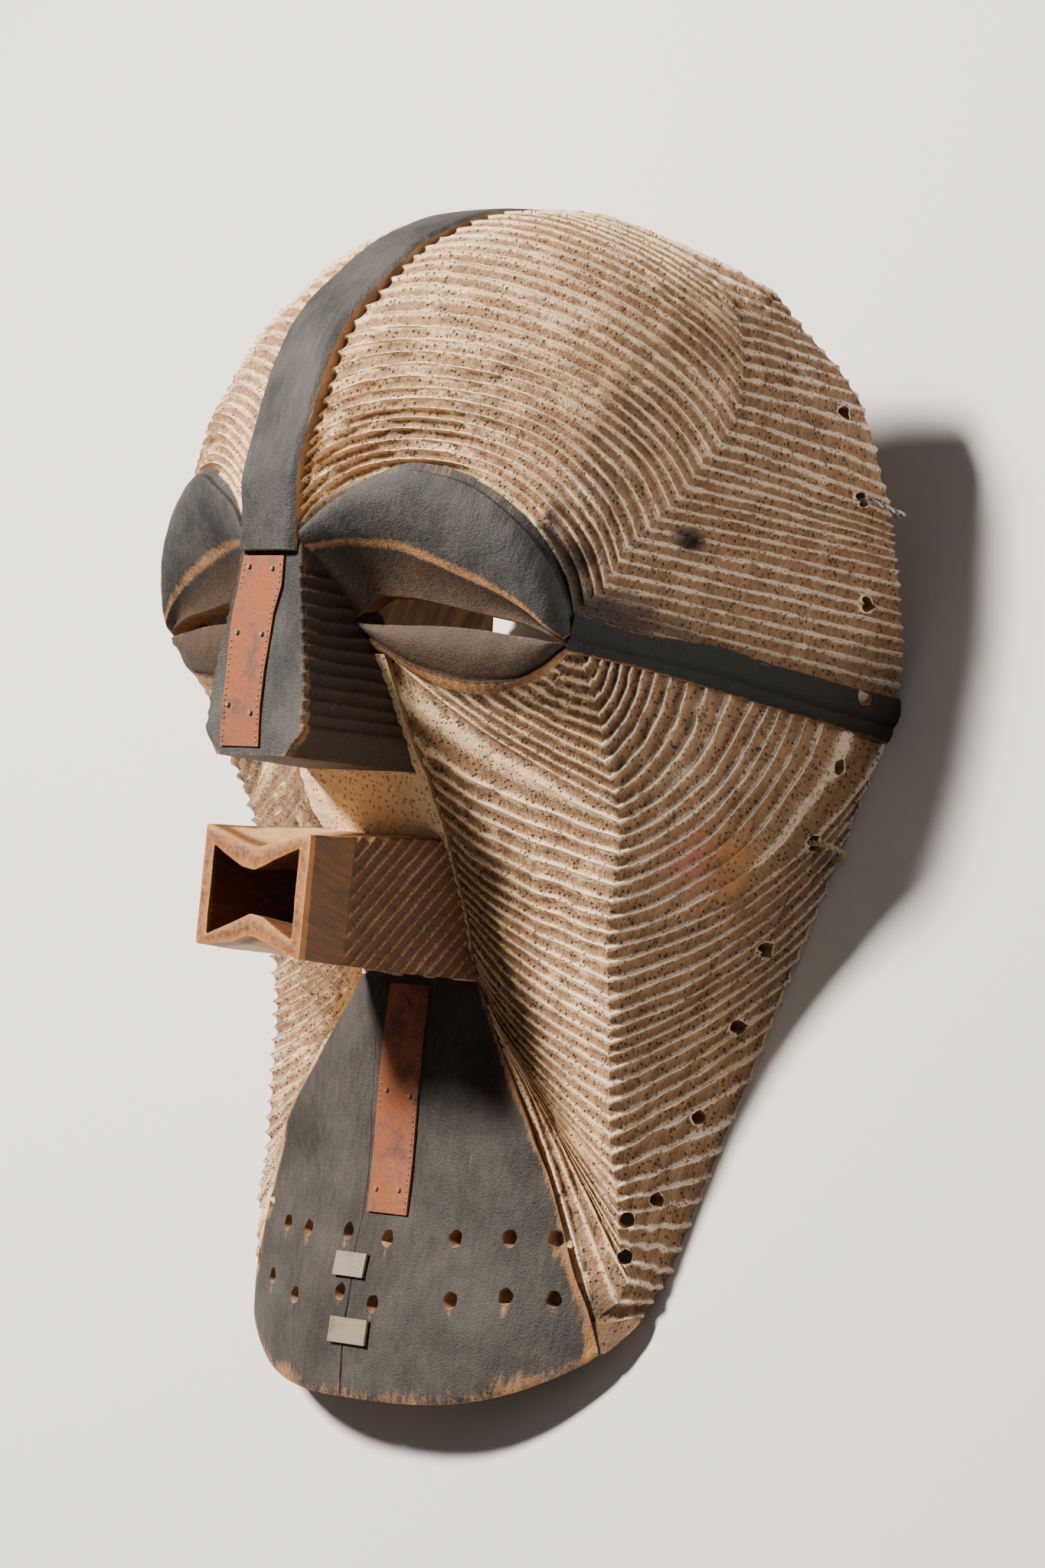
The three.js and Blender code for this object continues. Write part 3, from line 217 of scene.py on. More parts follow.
# A shader socket; arithmetic on it adds Math nodes of the same formula.
class Value:
    def __init__(self, paint, socket):
        self.paint, self.socket = paint, socket

    # Math node of two values, either of which may be a plain number.
    def math(self, operation, first, second):
        return self.paint.node("Math", {"operation": operation}, {0: first, 1: second})

    # Sum.
    def __add__(self, other):
        return self.math("ADD", self, other)

    # Difference.
    def __sub__(self, other):
        return self.math("SUBTRACT", self, other)

    # Difference with the number first.
    def __rsub__(self, other):
        return self.math("SUBTRACT", other, self)

    # Product.
    def __mul__(self, other):
        return self.math("MULTIPLY", self, other)

    __radd__, __rmul__ = __add__, __mul__

    # The value held between 0 and 1.
    def clamped(self):
        return self.math("MINIMUM", self.math("MAXIMUM", self, 0.0), 1.0)

    # Ramp from 0 at low to 1 at high.
    def between(self, low, high):
        return ((self - low) * (1 / (high - low))).clamped()


# A node material being made: each method adds a node and gives its output.
class Paint:
    def __init__(self, name):
        self.material = bpy.data.materials.new(name)
        self.material.use_nodes = True
        self.tree = self.material.node_tree
        self.shader = self.tree.nodes["Principled BSDF"]
        self.place = self.node("TexCoord", {}, {}, "Object")

    # Links a value to a socket, or sets the socket to a plain value.
    def wire(self, target, item):
        if isinstance(item, Value):
            self.tree.links.new(item.socket, target)
        else:
            target.default_value = item

    # Node of a type: its settings are set first, then its sockets get values or links.
    def node(self, kind, settings, sockets, output=0):
        made = self.tree.nodes.new("ShaderNode" + kind)
        for key, setting in settings.items():
            setattr(made, key, setting)
        for key, item in sockets.items():
            self.wire(made.inputs[key], item)
        return Value(self, made.outputs[output])

    # Value that each point of the mesh carries under a name.
    def attribute(self, name):
        return self.node("Attribute", {"attribute_name": name}, {}, "Fac")

    # Place on the object turned and scaled.
    def stretched(self, scale, turn=(0, 0, 0)):
        return self.node("Mapping", {}, {"Vector": self.place, "Scale": scale, "Rotation": turn})

    # Vector whose first two parts are the given values.
    def joined(self, x, y):
        return self.node("CombineXYZ", {}, {0: x, 1: y})

    # Noise over the object; size is the feature size in millimetres.
    def noise(self, size, detail=3, rough=0.55, vector=None):
        sockets = {"Scale": 1000 / size, "Detail": detail, "Roughness": rough}
        return self.node("TexNoise", {}, {**sockets, "Vector": vector or self.place}, "Fac")

    # Distance to the nearest of scattered cell middles; size is their spacing in millimetres.
    def cells(self, size):
        return self.node("TexVoronoi", {}, {"Scale": 1000 / size, "Vector": self.place}, "Distance")

    # Colour a plus factor times the way to colour b.
    def blend(self, factor, a, b):
        a, b = (item if isinstance(item, Value) else (*item, 1) for item in (a, b))
        return self.node("Mix", {"data_type": "RGBA"}, {0: factor, 6: a, 7: b}, 2)

    # Material with its surface values wired; the bump is height times depth in millimetres.
    def finish(self, color, roughness, height, depth, metallic=0.0):
        normal = self.node("Bump", {}, {"Distance": depth / 1000, "Strength": 1.0, "Height": height})
        surface = {"Normal": normal, "Base Color": color, "Roughness": roughness, "Metallic": metallic}
        for key, item in surface.items():
            self.wire(self.shader.inputs[key], item)
        return self.material


# Colours as linear red, green, blue; shadeGrey is painted shade for faces turned away from the key light.
tone = {"cream": (0.64, 0.40, 0.185), "chalk": (0.95, 0.72, 0.465), "tan": (0.40, 0.225, 0.105),
        "brown": (0.12, 0.06, 0.026), "umber": (0.035, 0.018, 0.008), "soot": (0.013, 0.013, 0.013),
        "ash": (0.085, 0.08, 0.074), "orange": (0.44, 0.18, 0.045), "red": (0.42, 0.12, 0.07),
        "russet": (0.21, 0.078, 0.026), "cocoa": (0.065, 0.034, 0.017),
        "scratch": (0.30, 0.26, 0.21), "shadeGrey": (0.72, 0.585, 0.465)}


# Grooved wood: pale pigment holds on the crests and thins out in the pitted brown valleys.
def groovedPaint():
    paint = Paint("groovedWood")
    valley, stain, shadedSide = (paint.attribute(key) for key in ("valley", "stain", "shadedSide"))
    bare, trace = paint.attribute("bare"), paint.attribute("trace")
    tool = paint.joined(paint.attribute("run"), paint.attribute("row"))
    grain = paint.noise(3, 4, 0.6, paint.stretched((1, 0.16, 1)))
    broad, fine, gouge = paint.noise(30, 2), paint.noise(1.1, 4, 0.7), paint.noise(2.3, 3, 0.6, tool)
    pits = 1 - paint.cells(2.3).between(0.12, 0.3)
    low = valley.between(0.3, 0.95)
    wood = paint.blend((grain * 0.6 + gouge * 0.5 - 0.05).between(0.3, 0.72), tone["brown"], tone["tan"])
    cover = 1.06 - low * 0.9 + (broad - 0.5) * 0.5 + (fine - 0.5) * 1.5 + (gouge - 0.5) * 0.9
    # Painted shade: on faces turned away from the key light the pale cover thins and turns grey.
    cover = cover - shadedSide * 0.26 - bare * 1.2
    pale = paint.blend((broad * 0.5 + fine * 0.6).between(0.35, 0.75), tone["cream"], tone["chalk"])
    pale = paint.blend(shadedSide * 0.85, pale, tone["shadeGrey"])
    color = paint.blend(cover.between(0.28, 0.72) * 0.96, wood, pale)
    gouged = (low * gouge.between(0.52, 0.74) * (shadedSide * 0.35 + 0.62)).clamped()
    color = paint.blend(gouged, color, tone["umber"])
    color = paint.blend((pits * (low * 0.5 + 0.4)).clamped(), color, tone["umber"])
    color = paint.blend((bare * (gouge * 1.4 - 0.1)).clamped(), color, tone["orange"])
    color = paint.blend((trace * (fine * 0.9 + 0.2)).clamped(), color, tone["red"])
    dark = paint.blend(fine.between(0.3, 0.7), tone["soot"], tone["cocoa"])
    color = paint.blend((stain + (fine - 0.5) * stain).clamped(), color, dark)
    height = fine * 0.5 + grain * 0.25 + gouge * low * 0.7 - pits * 0.8
    return paint.finish(color, fine * 0.2 + 0.68, height, 1.3)


# Blackened wood: charcoal with a grey bloom and fine scratches, worn through to tan on its edges.
def blackPaint(name, sheen, bloomShare, specular):
    paint = Paint(name)
    paint.shader.inputs["Specular IOR Level"].default_value = specular
    wear, warm = paint.attribute("wear"), paint.attribute("warm")
    grain = paint.noise(2.2, 5, 0.62, paint.stretched((1, 0.12, 1)))
    broad, fine = paint.noise(34, 4), paint.noise(0.9, 3, 0.6)
    bloom = broad.between(0.38, 0.7) * 0.55 + (grain - 0.45) * 0.9 + (fine - 0.5) * 0.5
    bloom = (bloom * bloomShare).clamped()
    color = paint.blend(bloom, tone["soot"], tone["ash"])
    brown = paint.blend(grain.between(0.4, 0.9), tone["umber"], tone["cocoa"])
    color = paint.blend((warm * (grain * 0.9 + 0.45)).clamped(), color, brown)
    worn = (wear * 1.5 + (grain - 0.5) * 1.6 + (broad - 0.5) * 1.2 + (fine - 0.5) * 0.7 - 0.6).clamped()
    edge = paint.blend(fine.between(0.3, 0.7), tone["tan"], tone["orange"])
    color = paint.blend(worn * 0.9, color, edge)
    for turn, limit in ((0.5, 0.66), (-0.7, 0.68)):
        lines = paint.noise(1.3, 3, 0.6, paint.stretched((1, 0.02, 0.2), (0, 0, turn)))
        scratch = lines.between(limit, limit + 0.14) * broad * (bloomShare * 0.45)
        color = paint.blend(scratch, color, tone["scratch"])
    rough = fine * 0.2 + grain * 0.16 + (0.6 - sheen)
    return paint.finish(color, rough, grain * 0.6 + fine * 0.6 + broad * 0.6, 0.8)


# Mouth wood: handled red-brown, orange where worn, with pale pigment left on its grooved sides, darker groove
# valleys, and painted shade deep inside the mouth.
def mouthPaint():
    paint = Paint("mouthWood")
    paint.shader.inputs["Specular IOR Level"].default_value = 0.35
    wear, pale, grooveDarkAndShade = paint.attribute("wear"), paint.attribute("pale"), paint.attribute("grooveDarkAndShade")
    grain = paint.noise(2.4, 5, 0.62, paint.stretched((1, 1, 0.15)))
    broad, fine = paint.noise(18, 3), paint.noise(0.9, 3, 0.6)
    color = paint.blend(grain.between(0.3, 0.72), tone["cocoa"], tone["russet"])
    # Darker in the side groove valleys, plus painted shade growing towards the back of the mouth hole.
    color = paint.blend((grooveDarkAndShade * 0.75).clamped(), color, tone["umber"])
    worn = (wear * 1.5 + (grain - 0.5) * 1.2 + (broad - 0.5) - 0.4).clamped()
    color = paint.blend(worn * 0.9, color, tone["orange"])
    chalky = (pale * 1.3 + (fine - 0.5) * 1.4 + (broad - 0.5) * 0.9 - 0.35).clamped()
    color = paint.blend(chalky * 0.85, color, tone["cream"])
    return paint.finish(color, fine * 0.2 + grain * 0.15 + 0.38, grain * 0.6 + fine * 0.4, 0.4)


# Inside of the mask and hidden wood: bare brown wood with gouge marks.
def innerPaint():
    paint = Paint("bareWood")
    grain = paint.noise(5, 5, 0.6, paint.stretched((1, 0.15, 1)))
    color = paint.blend(grain.between(0.3, 0.7), tone["brown"], tone["tan"])
    color = paint.blend(paint.noise(40, 3).between(0.4, 0.75) * 0.7, color, tone["umber"])
    return paint.finish(color, grain * 0.2 + 0.65, grain, 0.6)


# Old sheet metal: patches of dark skin over the metal, small dents and fine bumps.
def sheetPaint(name, bright, dark, share, metallic):
    paint = Paint(name)
    patch, broad, fine = paint.noise(9, 5, 0.65), paint.noise(24, 3), paint.noise(0.8, 3, 0.6)
    dents = paint.cells(2.6)
    skin = (patch * 0.6 + broad * 0.4 + (fine - 0.5) * 0.3).between(share, share + 0.2)
    color = paint.blend(skin * 0.9, bright, dark)
    height = dents * 0.15 + fine * 0.25 + patch * 0.5
    return paint.finish(color, skin * 0.2 + 0.42, height, 0.35, metallic - skin * 0.4)


# Cord fibre: dark and light by fine noise, dull all over.
def fibrePaint(name, light, dark):
    paint = Paint(name)
    fine = paint.noise(0.5, 4, 0.7)
    return paint.finish(paint.blend(fine.between(0.3, 0.7), dark, light), 0.9, fine, 0.25)


grooved = groovedPaint()
matteBlack = blackPaint("mattBlack", 0.1, 0.9, 0.3)
glossBlack = blackPaint("bandBlack", 0.24, 0.04, 0.14)
mouthWood = mouthPaint()
bareInside = innerPaint()
copperSheet = sheetPaint("copperSheet", (0.31, 0.10, 0.045), (0.045, 0.02, 0.013), 0.43, 0.6)
nailSkin = sheetPaint("nailSkin", (0.26, 0.2, 0.14), (0.08, 0.05, 0.032), 0.45, 0.5)
tinSheet = sheetPaint("tinSheet", (0.29, 0.245, 0.18), (0.11, 0.08, 0.05), 0.44, 0.4)

print("stage: mesh tools")


# Quads of a grid of rows and columns whose points start at an offset; either way may close up.
def gridQuads(rows, columns, offset=0, closeRows=False, closeColumns=False):
    r = np.arange(rows if closeRows else rows - 1)[:, None]
    c = np.arange(columns if closeColumns else columns - 1)[None, :]
    nextR, nextC = (r + 1) % rows, (c + 1) % columns
    quads = np.stack(np.broadcast_arrays(r * columns + c, r * columns + nextC,
                                         nextR * columns + nextC, nextR * columns + c), -1)
    return quads.reshape(-1, 4) + offset


# Mesh object from points in the upright face and faces; marks are values given to each point.
def makeMesh(name, points, faces, materials, marks=None, slots=None):
    mesh = bpy.data.meshes.new(name)
    quads = np.asarray(faces)
    corners = np.concatenate([quads[:, [0, 1, 2]], quads[:, [0, 2, 3]]])
    a, b, c = (points[corners[:, k]] for k in range(3))
    if np.einsum("ij,ij->i", a, np.cross(b, c)).sum() < 0:
        quads = quads[:, ::-1]
    mesh.from_pydata(lay(points).tolist(), [], [tuple(dict.fromkeys(q)) for q in quads.tolist()])
    for material in materials:
        mesh.materials.append(material)
    if slots is not None:
        mesh.polygons.foreach_set("material_index", np.asarray(slots, np.int32))
    for key, values in (marks or {}).items():
        layer = mesh.attributes.new(key, "FLOAT", "POINT")
        layer.data.foreach_set("value", np.asarray(values, np.float32).ravel())
    made = bpy.data.objects.new(name, mesh)
    bpy.context.collection.objects.link(made)
    return made


# Closed slab between an outer grid and the same grid moved in; its back and sides are bare wood.
def slab(name, outer, back, material, marks):
    rows, columns = outer.shape[:2]
    count = rows * columns
    front = gridQuads(rows, columns)
    rear = gridQuads(rows, columns, count)[:, ::-1]
    r, c = np.arange(rows - 1) * columns, np.arange(columns - 1)
    lastRow, lastColumn = (rows - 1) * columns, columns - 1
    edges = [(c + 1, c), (c + lastRow, c + 1 + lastRow), (r, r + columns),
             (r + columns + lastColumn, r + lastColumn)]
    sides = [np.stack([a, b, b + count, a + count], -1) for a, b in edges]
    faces = np.concatenate([front, rear, *sides])
    slots = np.concatenate([np.zeros(len(front)), np.ones(len(faces) - len(front))])
    points = np.concatenate([outer.reshape(-1, 3), back.reshape(-1, 3)])
    values = {key: np.concatenate([np.broadcast_to(v, (rows, columns)).ravel(), np.zeros(count)])
              for key, v in marks.items()}
    return makeMesh(name, points, faces, [material, bareInside], values, slots)


# Slab of one side: sign 1 is the viewer's right as drawn, -1 its mirror image on the left.
def sideSlab(name, sign, outer, back, material, marks):
    flip = np.array([sign, 1, 1])
    return slab(name + ("Right" if sign > 0 else "Left"), outer * flip, back * flip, material, marks)


# Closed tube through rings of points, with a fan of faces over both ends.
def loft(name, rings, materials, marks=None, slots=None):
    count, around = rings.shape[:2]
    points = np.concatenate([rings.reshape(-1, 3), rings[0].mean(0)[None], rings[-1].mean(0)[None]])
    k = np.arange(around)
    first = np.stack([np.full(around, count * around), (k + 1) % around, k, k], -1)
    last = np.stack([np.full(around, count * around + 1), k, (k + 1) % around, (k + 1) % around], -1)
    last[:, 1:] += (count - 1) * around
    faces = np.concatenate([gridQuads(count, around, 0, False, True), first, last])
    values = {key: np.concatenate([v.ravel(), [0, 0]]) for key, v in (marks or {}).items()}
    return makeMesh(name, points, faces, materials, values, slots)


# Subtracts the cutters from a piece and keeps the result as its mesh.
def carve(piece, cutters):
    for cutter in cutters:
        modifier = piece.modifiers.new("cut", "BOOLEAN")
        modifier.operation, modifier.solver, modifier.object = "DIFFERENCE", "MANIFOLD", cutter
    done = bpy.data.meshes.new_from_object(piece.evaluated_get(bpy.context.evaluated_depsgraph_get()))
    piece.modifiers.clear()
    piece.data = done


# Smooths a piece of the carved wood up to a crease angle in degrees and tells the frame its place.
def show(piece, sharp=35):
    piece.data.shade_smooth()
    piece.data.set_sharp_from_angle(angle=math.radians(sharp))
    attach(piece, "root")
    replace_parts(piece, "carved_mask")


# Camera: the photograph's, worked out from the upright face, in degrees and millimetres.
cameraFacts = {"turn": 50, "lift": -2.9, "roll": 5.64, "distance": 2600, "across": -6.5, "up": 9.7,
               "lens": 148.9, "far": 20}


# Camera: its axes come from turn, lift and roll, its place is the three distances along them.
def addCamera():
    turn, lift, roll = (math.radians(cameraFacts[k]) for k in ("turn", "lift", "roll"))
    back = np.array([math.sin(turn) * math.cos(lift), math.sin(lift), math.cos(turn) * math.cos(lift)])
    right = np.array([math.cos(turn), 0, -math.sin(turn)])
    up = np.cross(back, right)
    rolledRight = math.cos(roll) * right + math.sin(roll) * up
    rolledUp = math.cos(roll) * up - math.sin(roll) * right
    axes = np.array([rolledRight, rolledUp, back])
    place = axes.T @ np.array([cameraFacts["across"], cameraFacts["up"], cameraFacts["distance"]])
    camera = bpy.data.objects.new("camera", bpy.data.cameras.new("camera"))
    camera.data.lens = cameraFacts["lens"]
    camera.data.clip_end = cameraFacts["far"]
    laid = turnBack @ axes.T
    camera.matrix_world = Matrix.Translation(lay(place[None])[0]) @ Matrix(laid.tolist()).to_4x4()
    bpy.context.collection.objects.link(camera)
    bpy.context.scene.camera = camera
    return laid


cameraAxes = addCamera()

print("stage: cutters")

hole = {"rim": 3.0, "chin": 3.0, "sides": 20, "straightBelow": 25,
        "stations": (0, 0.55, 0.8, 0.9, 1.0), "flare": (0.9, 0.95, 1.0, 1.08, 1.25)}
sideHoles = [(164, -44), (130, -46), (89, -48), (52.5, -47.5), (24, -41), (-6.5, -35), (-50, -19.5),
             (-81, -11), (-117, 2), (-150, 17), (-160, 33), (-174, 32)]
chinHoles = [(-89, -168), (-68.5, -175), (-50, -176), (-20, -175), (6, -176), (43, -173), (69, -170.5),
             (89, -169), (-98, -190), (-77, -197), (-52, -203), (-17, -199), (5, -202), (46, -197),
             (71, -193), (91, -192)]


# Height of the chin plate: its rows run from edge to middle by a cube law, its rise is a square law.
def chinSurface(x, y):
    t = 0.5
    for _ in range(20):
        edge, middle = along(chinEdge, t), along(chinMiddle, t)
        s = min(abs(x) / edge[0], 1)
        t = min(max(t + (middle[0] + (edge[1] - middle[0]) * s**3 - y) / 180, 0), 1)
    edge, middle = along(chinEdge, t), along(chinMiddle, t)
    s = min(abs(x) / edge[0], 1)
    return middle[1] + (edge[2] - middle[1]) * s * s + 0.8


# Bored hole: a round cutter with an uneven wall and a flared outer lip.
def bore(name, inside, outside, radius, seed):
    stations, flare = hole["stations"], hole["flare"]
    ahead = (outside - inside) / np.linalg.norm(outside - inside)
    side = np.cross([0, 1, 0.2], ahead)
    side /= np.linalg.norm(side)
    up = np.cross(ahead, side)
    angle = np.linspace(0, 2 * math.pi, hole["sides"], endpoint=False)
    ragged = 1 + 0.04 * np.sin(3 * angle + seed) + 0.05 * np.sin(5 * angle + 2.3 * seed)
    circle = np.cos(angle)[:, None] * side + np.sin(angle)[:, None] * up
    rings = [mix(inside, outside, k) + circle * (radius * f * ragged)[:, None]
             for k, f in zip(stations, flare)]
    return loft(name, np.array(rings), [bareInside])


# Rim holes: the ones low on the side go straight in, the ones near the front slant.
rimBores, chinBores = {1: [], -1: []}, []
for number, (y, z) in enumerate(sideHoles):
    straight = z < hole["straightBelow"]
    outside = np.array([134, y, z - 1.4]) if straight else np.array([122, y - 1, z + 7])
    inside = np.array([92, y, z + 3]) if straight else np.array([82, y + 7, z - 32])
    for sign in (1, -1):
        flip = np.array([sign, 1, 1])
        made = bore(f"rimBore{number}", inside * flip, outside * flip, hole["rim"], number * sign)
        rimBores[sign].append(made)
for number, (x, y) in enumerate(chinHoles):
    z = chinSurface(x, y)
    inside, outside = np.array([0.88 * x, y + 5, z - 34]), np.array([x * 1.006, y - 0.4, z + 2])
    chinBores.append(bore(f"chinBore{number}", inside, outside, hole["chin"], number))

# Block below the floor, in metres of the frame: it cuts the pieces flat where they rest.
boxCorners = np.array([[x, y, z] for z in (-0.2, 0.0) for y in (-0.4, 0.4) for x in (-0.3, 0.3)])
boxFaces = [(0, 2, 3, 1), (4, 5, 7, 6), (0, 1, 5, 4), (2, 6, 7, 3), (0, 4, 6, 2), (1, 3, 7, 5)]
boxPoints = (boxCorners * 1000 - np.array(pose["shift"])) @ turnBack
cutBox = makeMesh("restPlane", boxPoints, boxFaces, [bareInside])


# Outline of the mouth at a depth: ten corners, its top and foot pinched in the middle.
def mouthOutline(half, top, foot, notch, lipped):
    if lipped:
        upper = [[-half, top + 1.5], [-9, top - 0.75 * notch], [0, top - notch], [9, top - 0.75 * notch],
                 [half, top - 1]]
        lower = [[half, foot - 1.5], [9, foot + 0.7 * notch], [0, foot + notch], [-9, foot + 0.6 * notch],
                 [-half, foot + 2]]
    else:
        upper = [[-half, top], [-8, top - 0.9 * notch], [0, top - notch], [10, top - 0.6 * notch],
                 [half, top]]
        lower = [[half, foot], [8, foot + 0.85 * notch], [0, foot + notch], [-10, foot + 0.6 * notch],
                 [-half, foot]]
    return np.array(upper + lower)


outerMouth = [[40, 38, -17, -70, 0], [70, 37, -18.5, -71, 0], [95, 35.5, -20, -71.5, 1.5],
              [122, 33.5, -22, -71.5, 5], [140, 33, -23, -71, 7]]
innerMouth = [[15, 24, -31, -61, 0], [60, 25.5, -31, -63, 2], [120, 26.5, -30.5, -64, 6.5],
              [142, 27, -29.5, -65, 9.5]]


# The ten corners resampled by length round the outline, then eased by a running mean.
def mouthRing(z, stations, lipped, count=240):
    corners = mouthOutline(*along(stations, z), lipped)
    looped = np.vstack([corners, corners[:1]])
    length = np.append(0, np.cumsum(np.linalg.norm(np.diff(looped, axis=0), axis=1)))
    places = np.linspace(0, length[-1], count, endpoint=False)
    ring = np.column_stack([np.interp(places, length, looped[:, k]) for k in (0, 1)])
    for _ in range(2):
        ring = (np.roll(ring, 1, 0) + ring * 2 + np.roll(ring, -1, 0)) / 4
    return np.column_stack([ring, np.full(len(ring), z)])


cavityRings = [mouthRing(z, innerMouth, False) for z in (10, 40, 70, 100, 143)]
cavity = loft("cavityCutter", np.array(cavityRings), [bareInside])
crackLine = np.array([[-89, -18.4], [-123, -15.7], [-156, -13.1], [-180, -12.6], [-201, -10.7], [-222, -9.6],
                      [-246, -7.4]])
crackShape = {"top": -89, "foot": -246, "points": 60, "half": 0.6, "above": 4, "shallow": 4.5, "deep": 40,
              "deepBelow": -185, "plateEnd": -240}


# Drying crack: a thin wedge that wanders, deepens and opens towards the bottom edge.
def crackCutter():
    y = np.linspace(crackShape["top"], crackShape["foot"], crackShape["points"])
    line = np.column_stack([y, 0 * y, 0 * y])
    x = np.interp(-y, -crackLine[:, 0], crackLine[:, 1]) + 0.5 * noise(line, 7, 5)
    half = crackShape["half"] * np.linspace(0.3, 1, len(y)) * (1 + 0.3 * noise(line, 4, 9))
    z = np.array([chinSurface(a, max(b, crackShape["plateEnd"])) for a, b in zip(x, y)])
    top = z + crackShape["above"]
    foot = z - np.where(y > crackShape["deepBelow"], crackShape["shallow"], crackShape["deep"])
    corners = [(x - half, top), (x + half, top), (x + 0.3 * half, foot), (x - 0.3 * half, foot)]
    rings = np.stack([np.column_stack([across, y, depth]) for across, depth in corners], 1)
    return loft("crackCutter", rings, [bareInside])


crack = crackCutter()
cutterObjects = [cutBox, cavity, crack, *rimBores[1], *rimBores[-1], *chinBores]
for cutter in cutterObjects:
    cutter.hide_render = True

print("stage: grooved patches")

groove = {"depth": 2.4, "sharp": 2.4, "wander": 0.1, "wall": 9.2, "reach": 130, "across": 2.2, "crease": 60,
          "firstEdge": 3.5, "lastEdge": 3.0, "steps": (0, 0.07, 0.18, 0.34, 0.5, 0.66, 0.82, 0.93)}


# Rows at the steps of every groove: position counted in grooves.
def grooveRows(count):
    steps = np.array(groove["steps"])
    return np.append((np.arange(count)[:, None] + steps).ravel(), count)


# Depth of a groove: 0 on a narrow crest, 1 across a wide valley.
def grooveProfile(u):
    return 1 - np.abs(2 * (u % 1) - 1) ** groove["sharp"]


# Grooved surface: rows wander a little, depth varies, crests are chipped, the skin is rough.
def carvedGrid(patch, surface):
    count, s = patch["grooves"], patch["places"][None, :]
    u = grooveRows(count)[:, None]
    where = np.stack(np.broadcast_arrays(u * 0.4, s * 7, np.full_like(u * s, patch["seed"])), -1)
    edge = smooth(0, 1.5, u) * smooth(0, 1.5, count - u)
    wander = groove["wander"] * noise(where, 1, 3) * edge
    plain = surface((u + wander) / count, s)
    shape = grooveProfile(u) * (1 + 0.28 * noise(where * 2.1, 1, 11))
    chip = smooth(0.2, 0.7, noise(plain, 4, 17)) * (1 - grooveProfile(u))
    rough = 0.26 * noise(plain, 1.7, 23) + 0.34 * noise(plain, 4.2, 29)
    marks = {"valley": np.clip(shape + 0.5 * chip, 0, 1.2), "run": s * groove["reach"] / 1000 + 0 * u,
             "row": u * groove["across"] / 1000 + 0 * s}
    outer = sunk(plain, groove["depth"] * shape + 1.2 * chip + rough)
    back = sunk(plain, groove["wall"])
    first, last = np.array(patch["tuckFirst"]), np.array(patch["tuckLast"])
    top, foot = sunk(plain[:1], groove["firstEdge"]) + first, sunk(plain[-1:], groove["lastEdge"]) + last
    outer = np.concatenate([top, outer, foot])
    back = np.concatenate([back[:1] + first, back, back[-1:] + last])
    return outer, back, {key: np.concatenate([v[:1], v, v[-1:]]) for key, v in marks.items()}


# Soft spot: a bell of the distance from its centre, each way counted in its size.
def blob(p, centre, size):
    return np.exp(-(((p - np.array(centre)) / np.array(size)) ** 2).sum(-1))


upperPatch = {"grooves": 29, "seed": 2, "tuckFirst": (0, -5, 0), "tuckLast": (0, 0, 0),
              "places": np.concatenate([np.linspace(0, 1, 30)[:-1], np.linspace(1, 2, 62)]),
              "knotAt": (123, 103, 42), "knotSize": (4.2, 3.6, 5), "knotDepth": 5}


# From the rim to the kink s runs 0 to 1, from the kink to the crest 1 to 2.
def upperSurface(t, s):
    s, t = np.broadcast_arrays(s, t)
    near, far = temple(t, s[..., None]), forehead(t, s[..., None] - 1)
    return np.where((s < 1)[..., None], near, far)


# Upper patches: black smears over the band, painted shade that greys and darkens the temple, a knot on the
# viewer's right.
def addUpper():
    outer, back, marks = carvedGrid(upperPatch, upperSurface)
    u = grooveRows(upperPatch["grooves"])
    u = np.concatenate([u[:1], u, u[-1:]])[:, None]
    ragged = 1.4 * noise(outer, 9, 41)
    front = smooth(20, 75, outer[..., 2] + 10 * ragged)
    nearBand = (1 - smooth(0.8, 3.6, u + ragged)) * (0.35 + 0.65 * front) * (outer[..., 0] > 112)
    # Painted shade: the temple, turned away from the key light, is greyed and darkened.
    shadedSide = np.clip(smooth(1.35, 0.8, upperPatch["places"]) + 0.5 * noise(outer, 20, 43), 0, 1)
    knot = np.clip(1.6 * blob(outer, upperPatch["knotAt"], upperPatch["knotSize"]), 0, 1)
    for sign in (1, -1):
        hollow = knot * (sign > 0)
        stain = np.clip(nearBand + 1.8 * hollow, 0, 1)
        piece = sideSlab("upper", sign, sunk(outer, upperPatch["knotDepth"] * hollow), back, grooved,
                         {**marks, "stain": stain, "shadedSide": shadedSide})
        carve(piece, [cutBox, *rimBores[sign][:3]])
        show(piece, groove["crease"])


lowerPatch = {"grooves": 42, "seed": 5, "tuckFirst": (0, 5, 0), "tuckLast": (-3.5, -3.5, 0),
              "places": np.concatenate([np.linspace(0, 1, 40)[:-1], np.linspace(1, 2, 48), [2.06]]),
              "tuckTop": (0, 3, -2), "tuckFoot": (-3.5, 0, -2)}


# From the rim to the ridge s runs 0 to 1, to the inner crease 1 to 2, then under the neighbour.
def lowerSurface(t, s):
    s, t = np.broadcast_arrays(s, t)
    near, far = sideFace(t, s[..., None]), cheek(t, np.minimum(s, 2)[..., None] - 1)
    p = np.where((s < 1)[..., None], near, far)
    under = np.where((t < 0.25)[..., None], np.array(lowerPatch["tuckTop"]), np.array(lowerPatch["tuckFoot"]))
    return np.where((s > 2)[..., None], p + under, p)
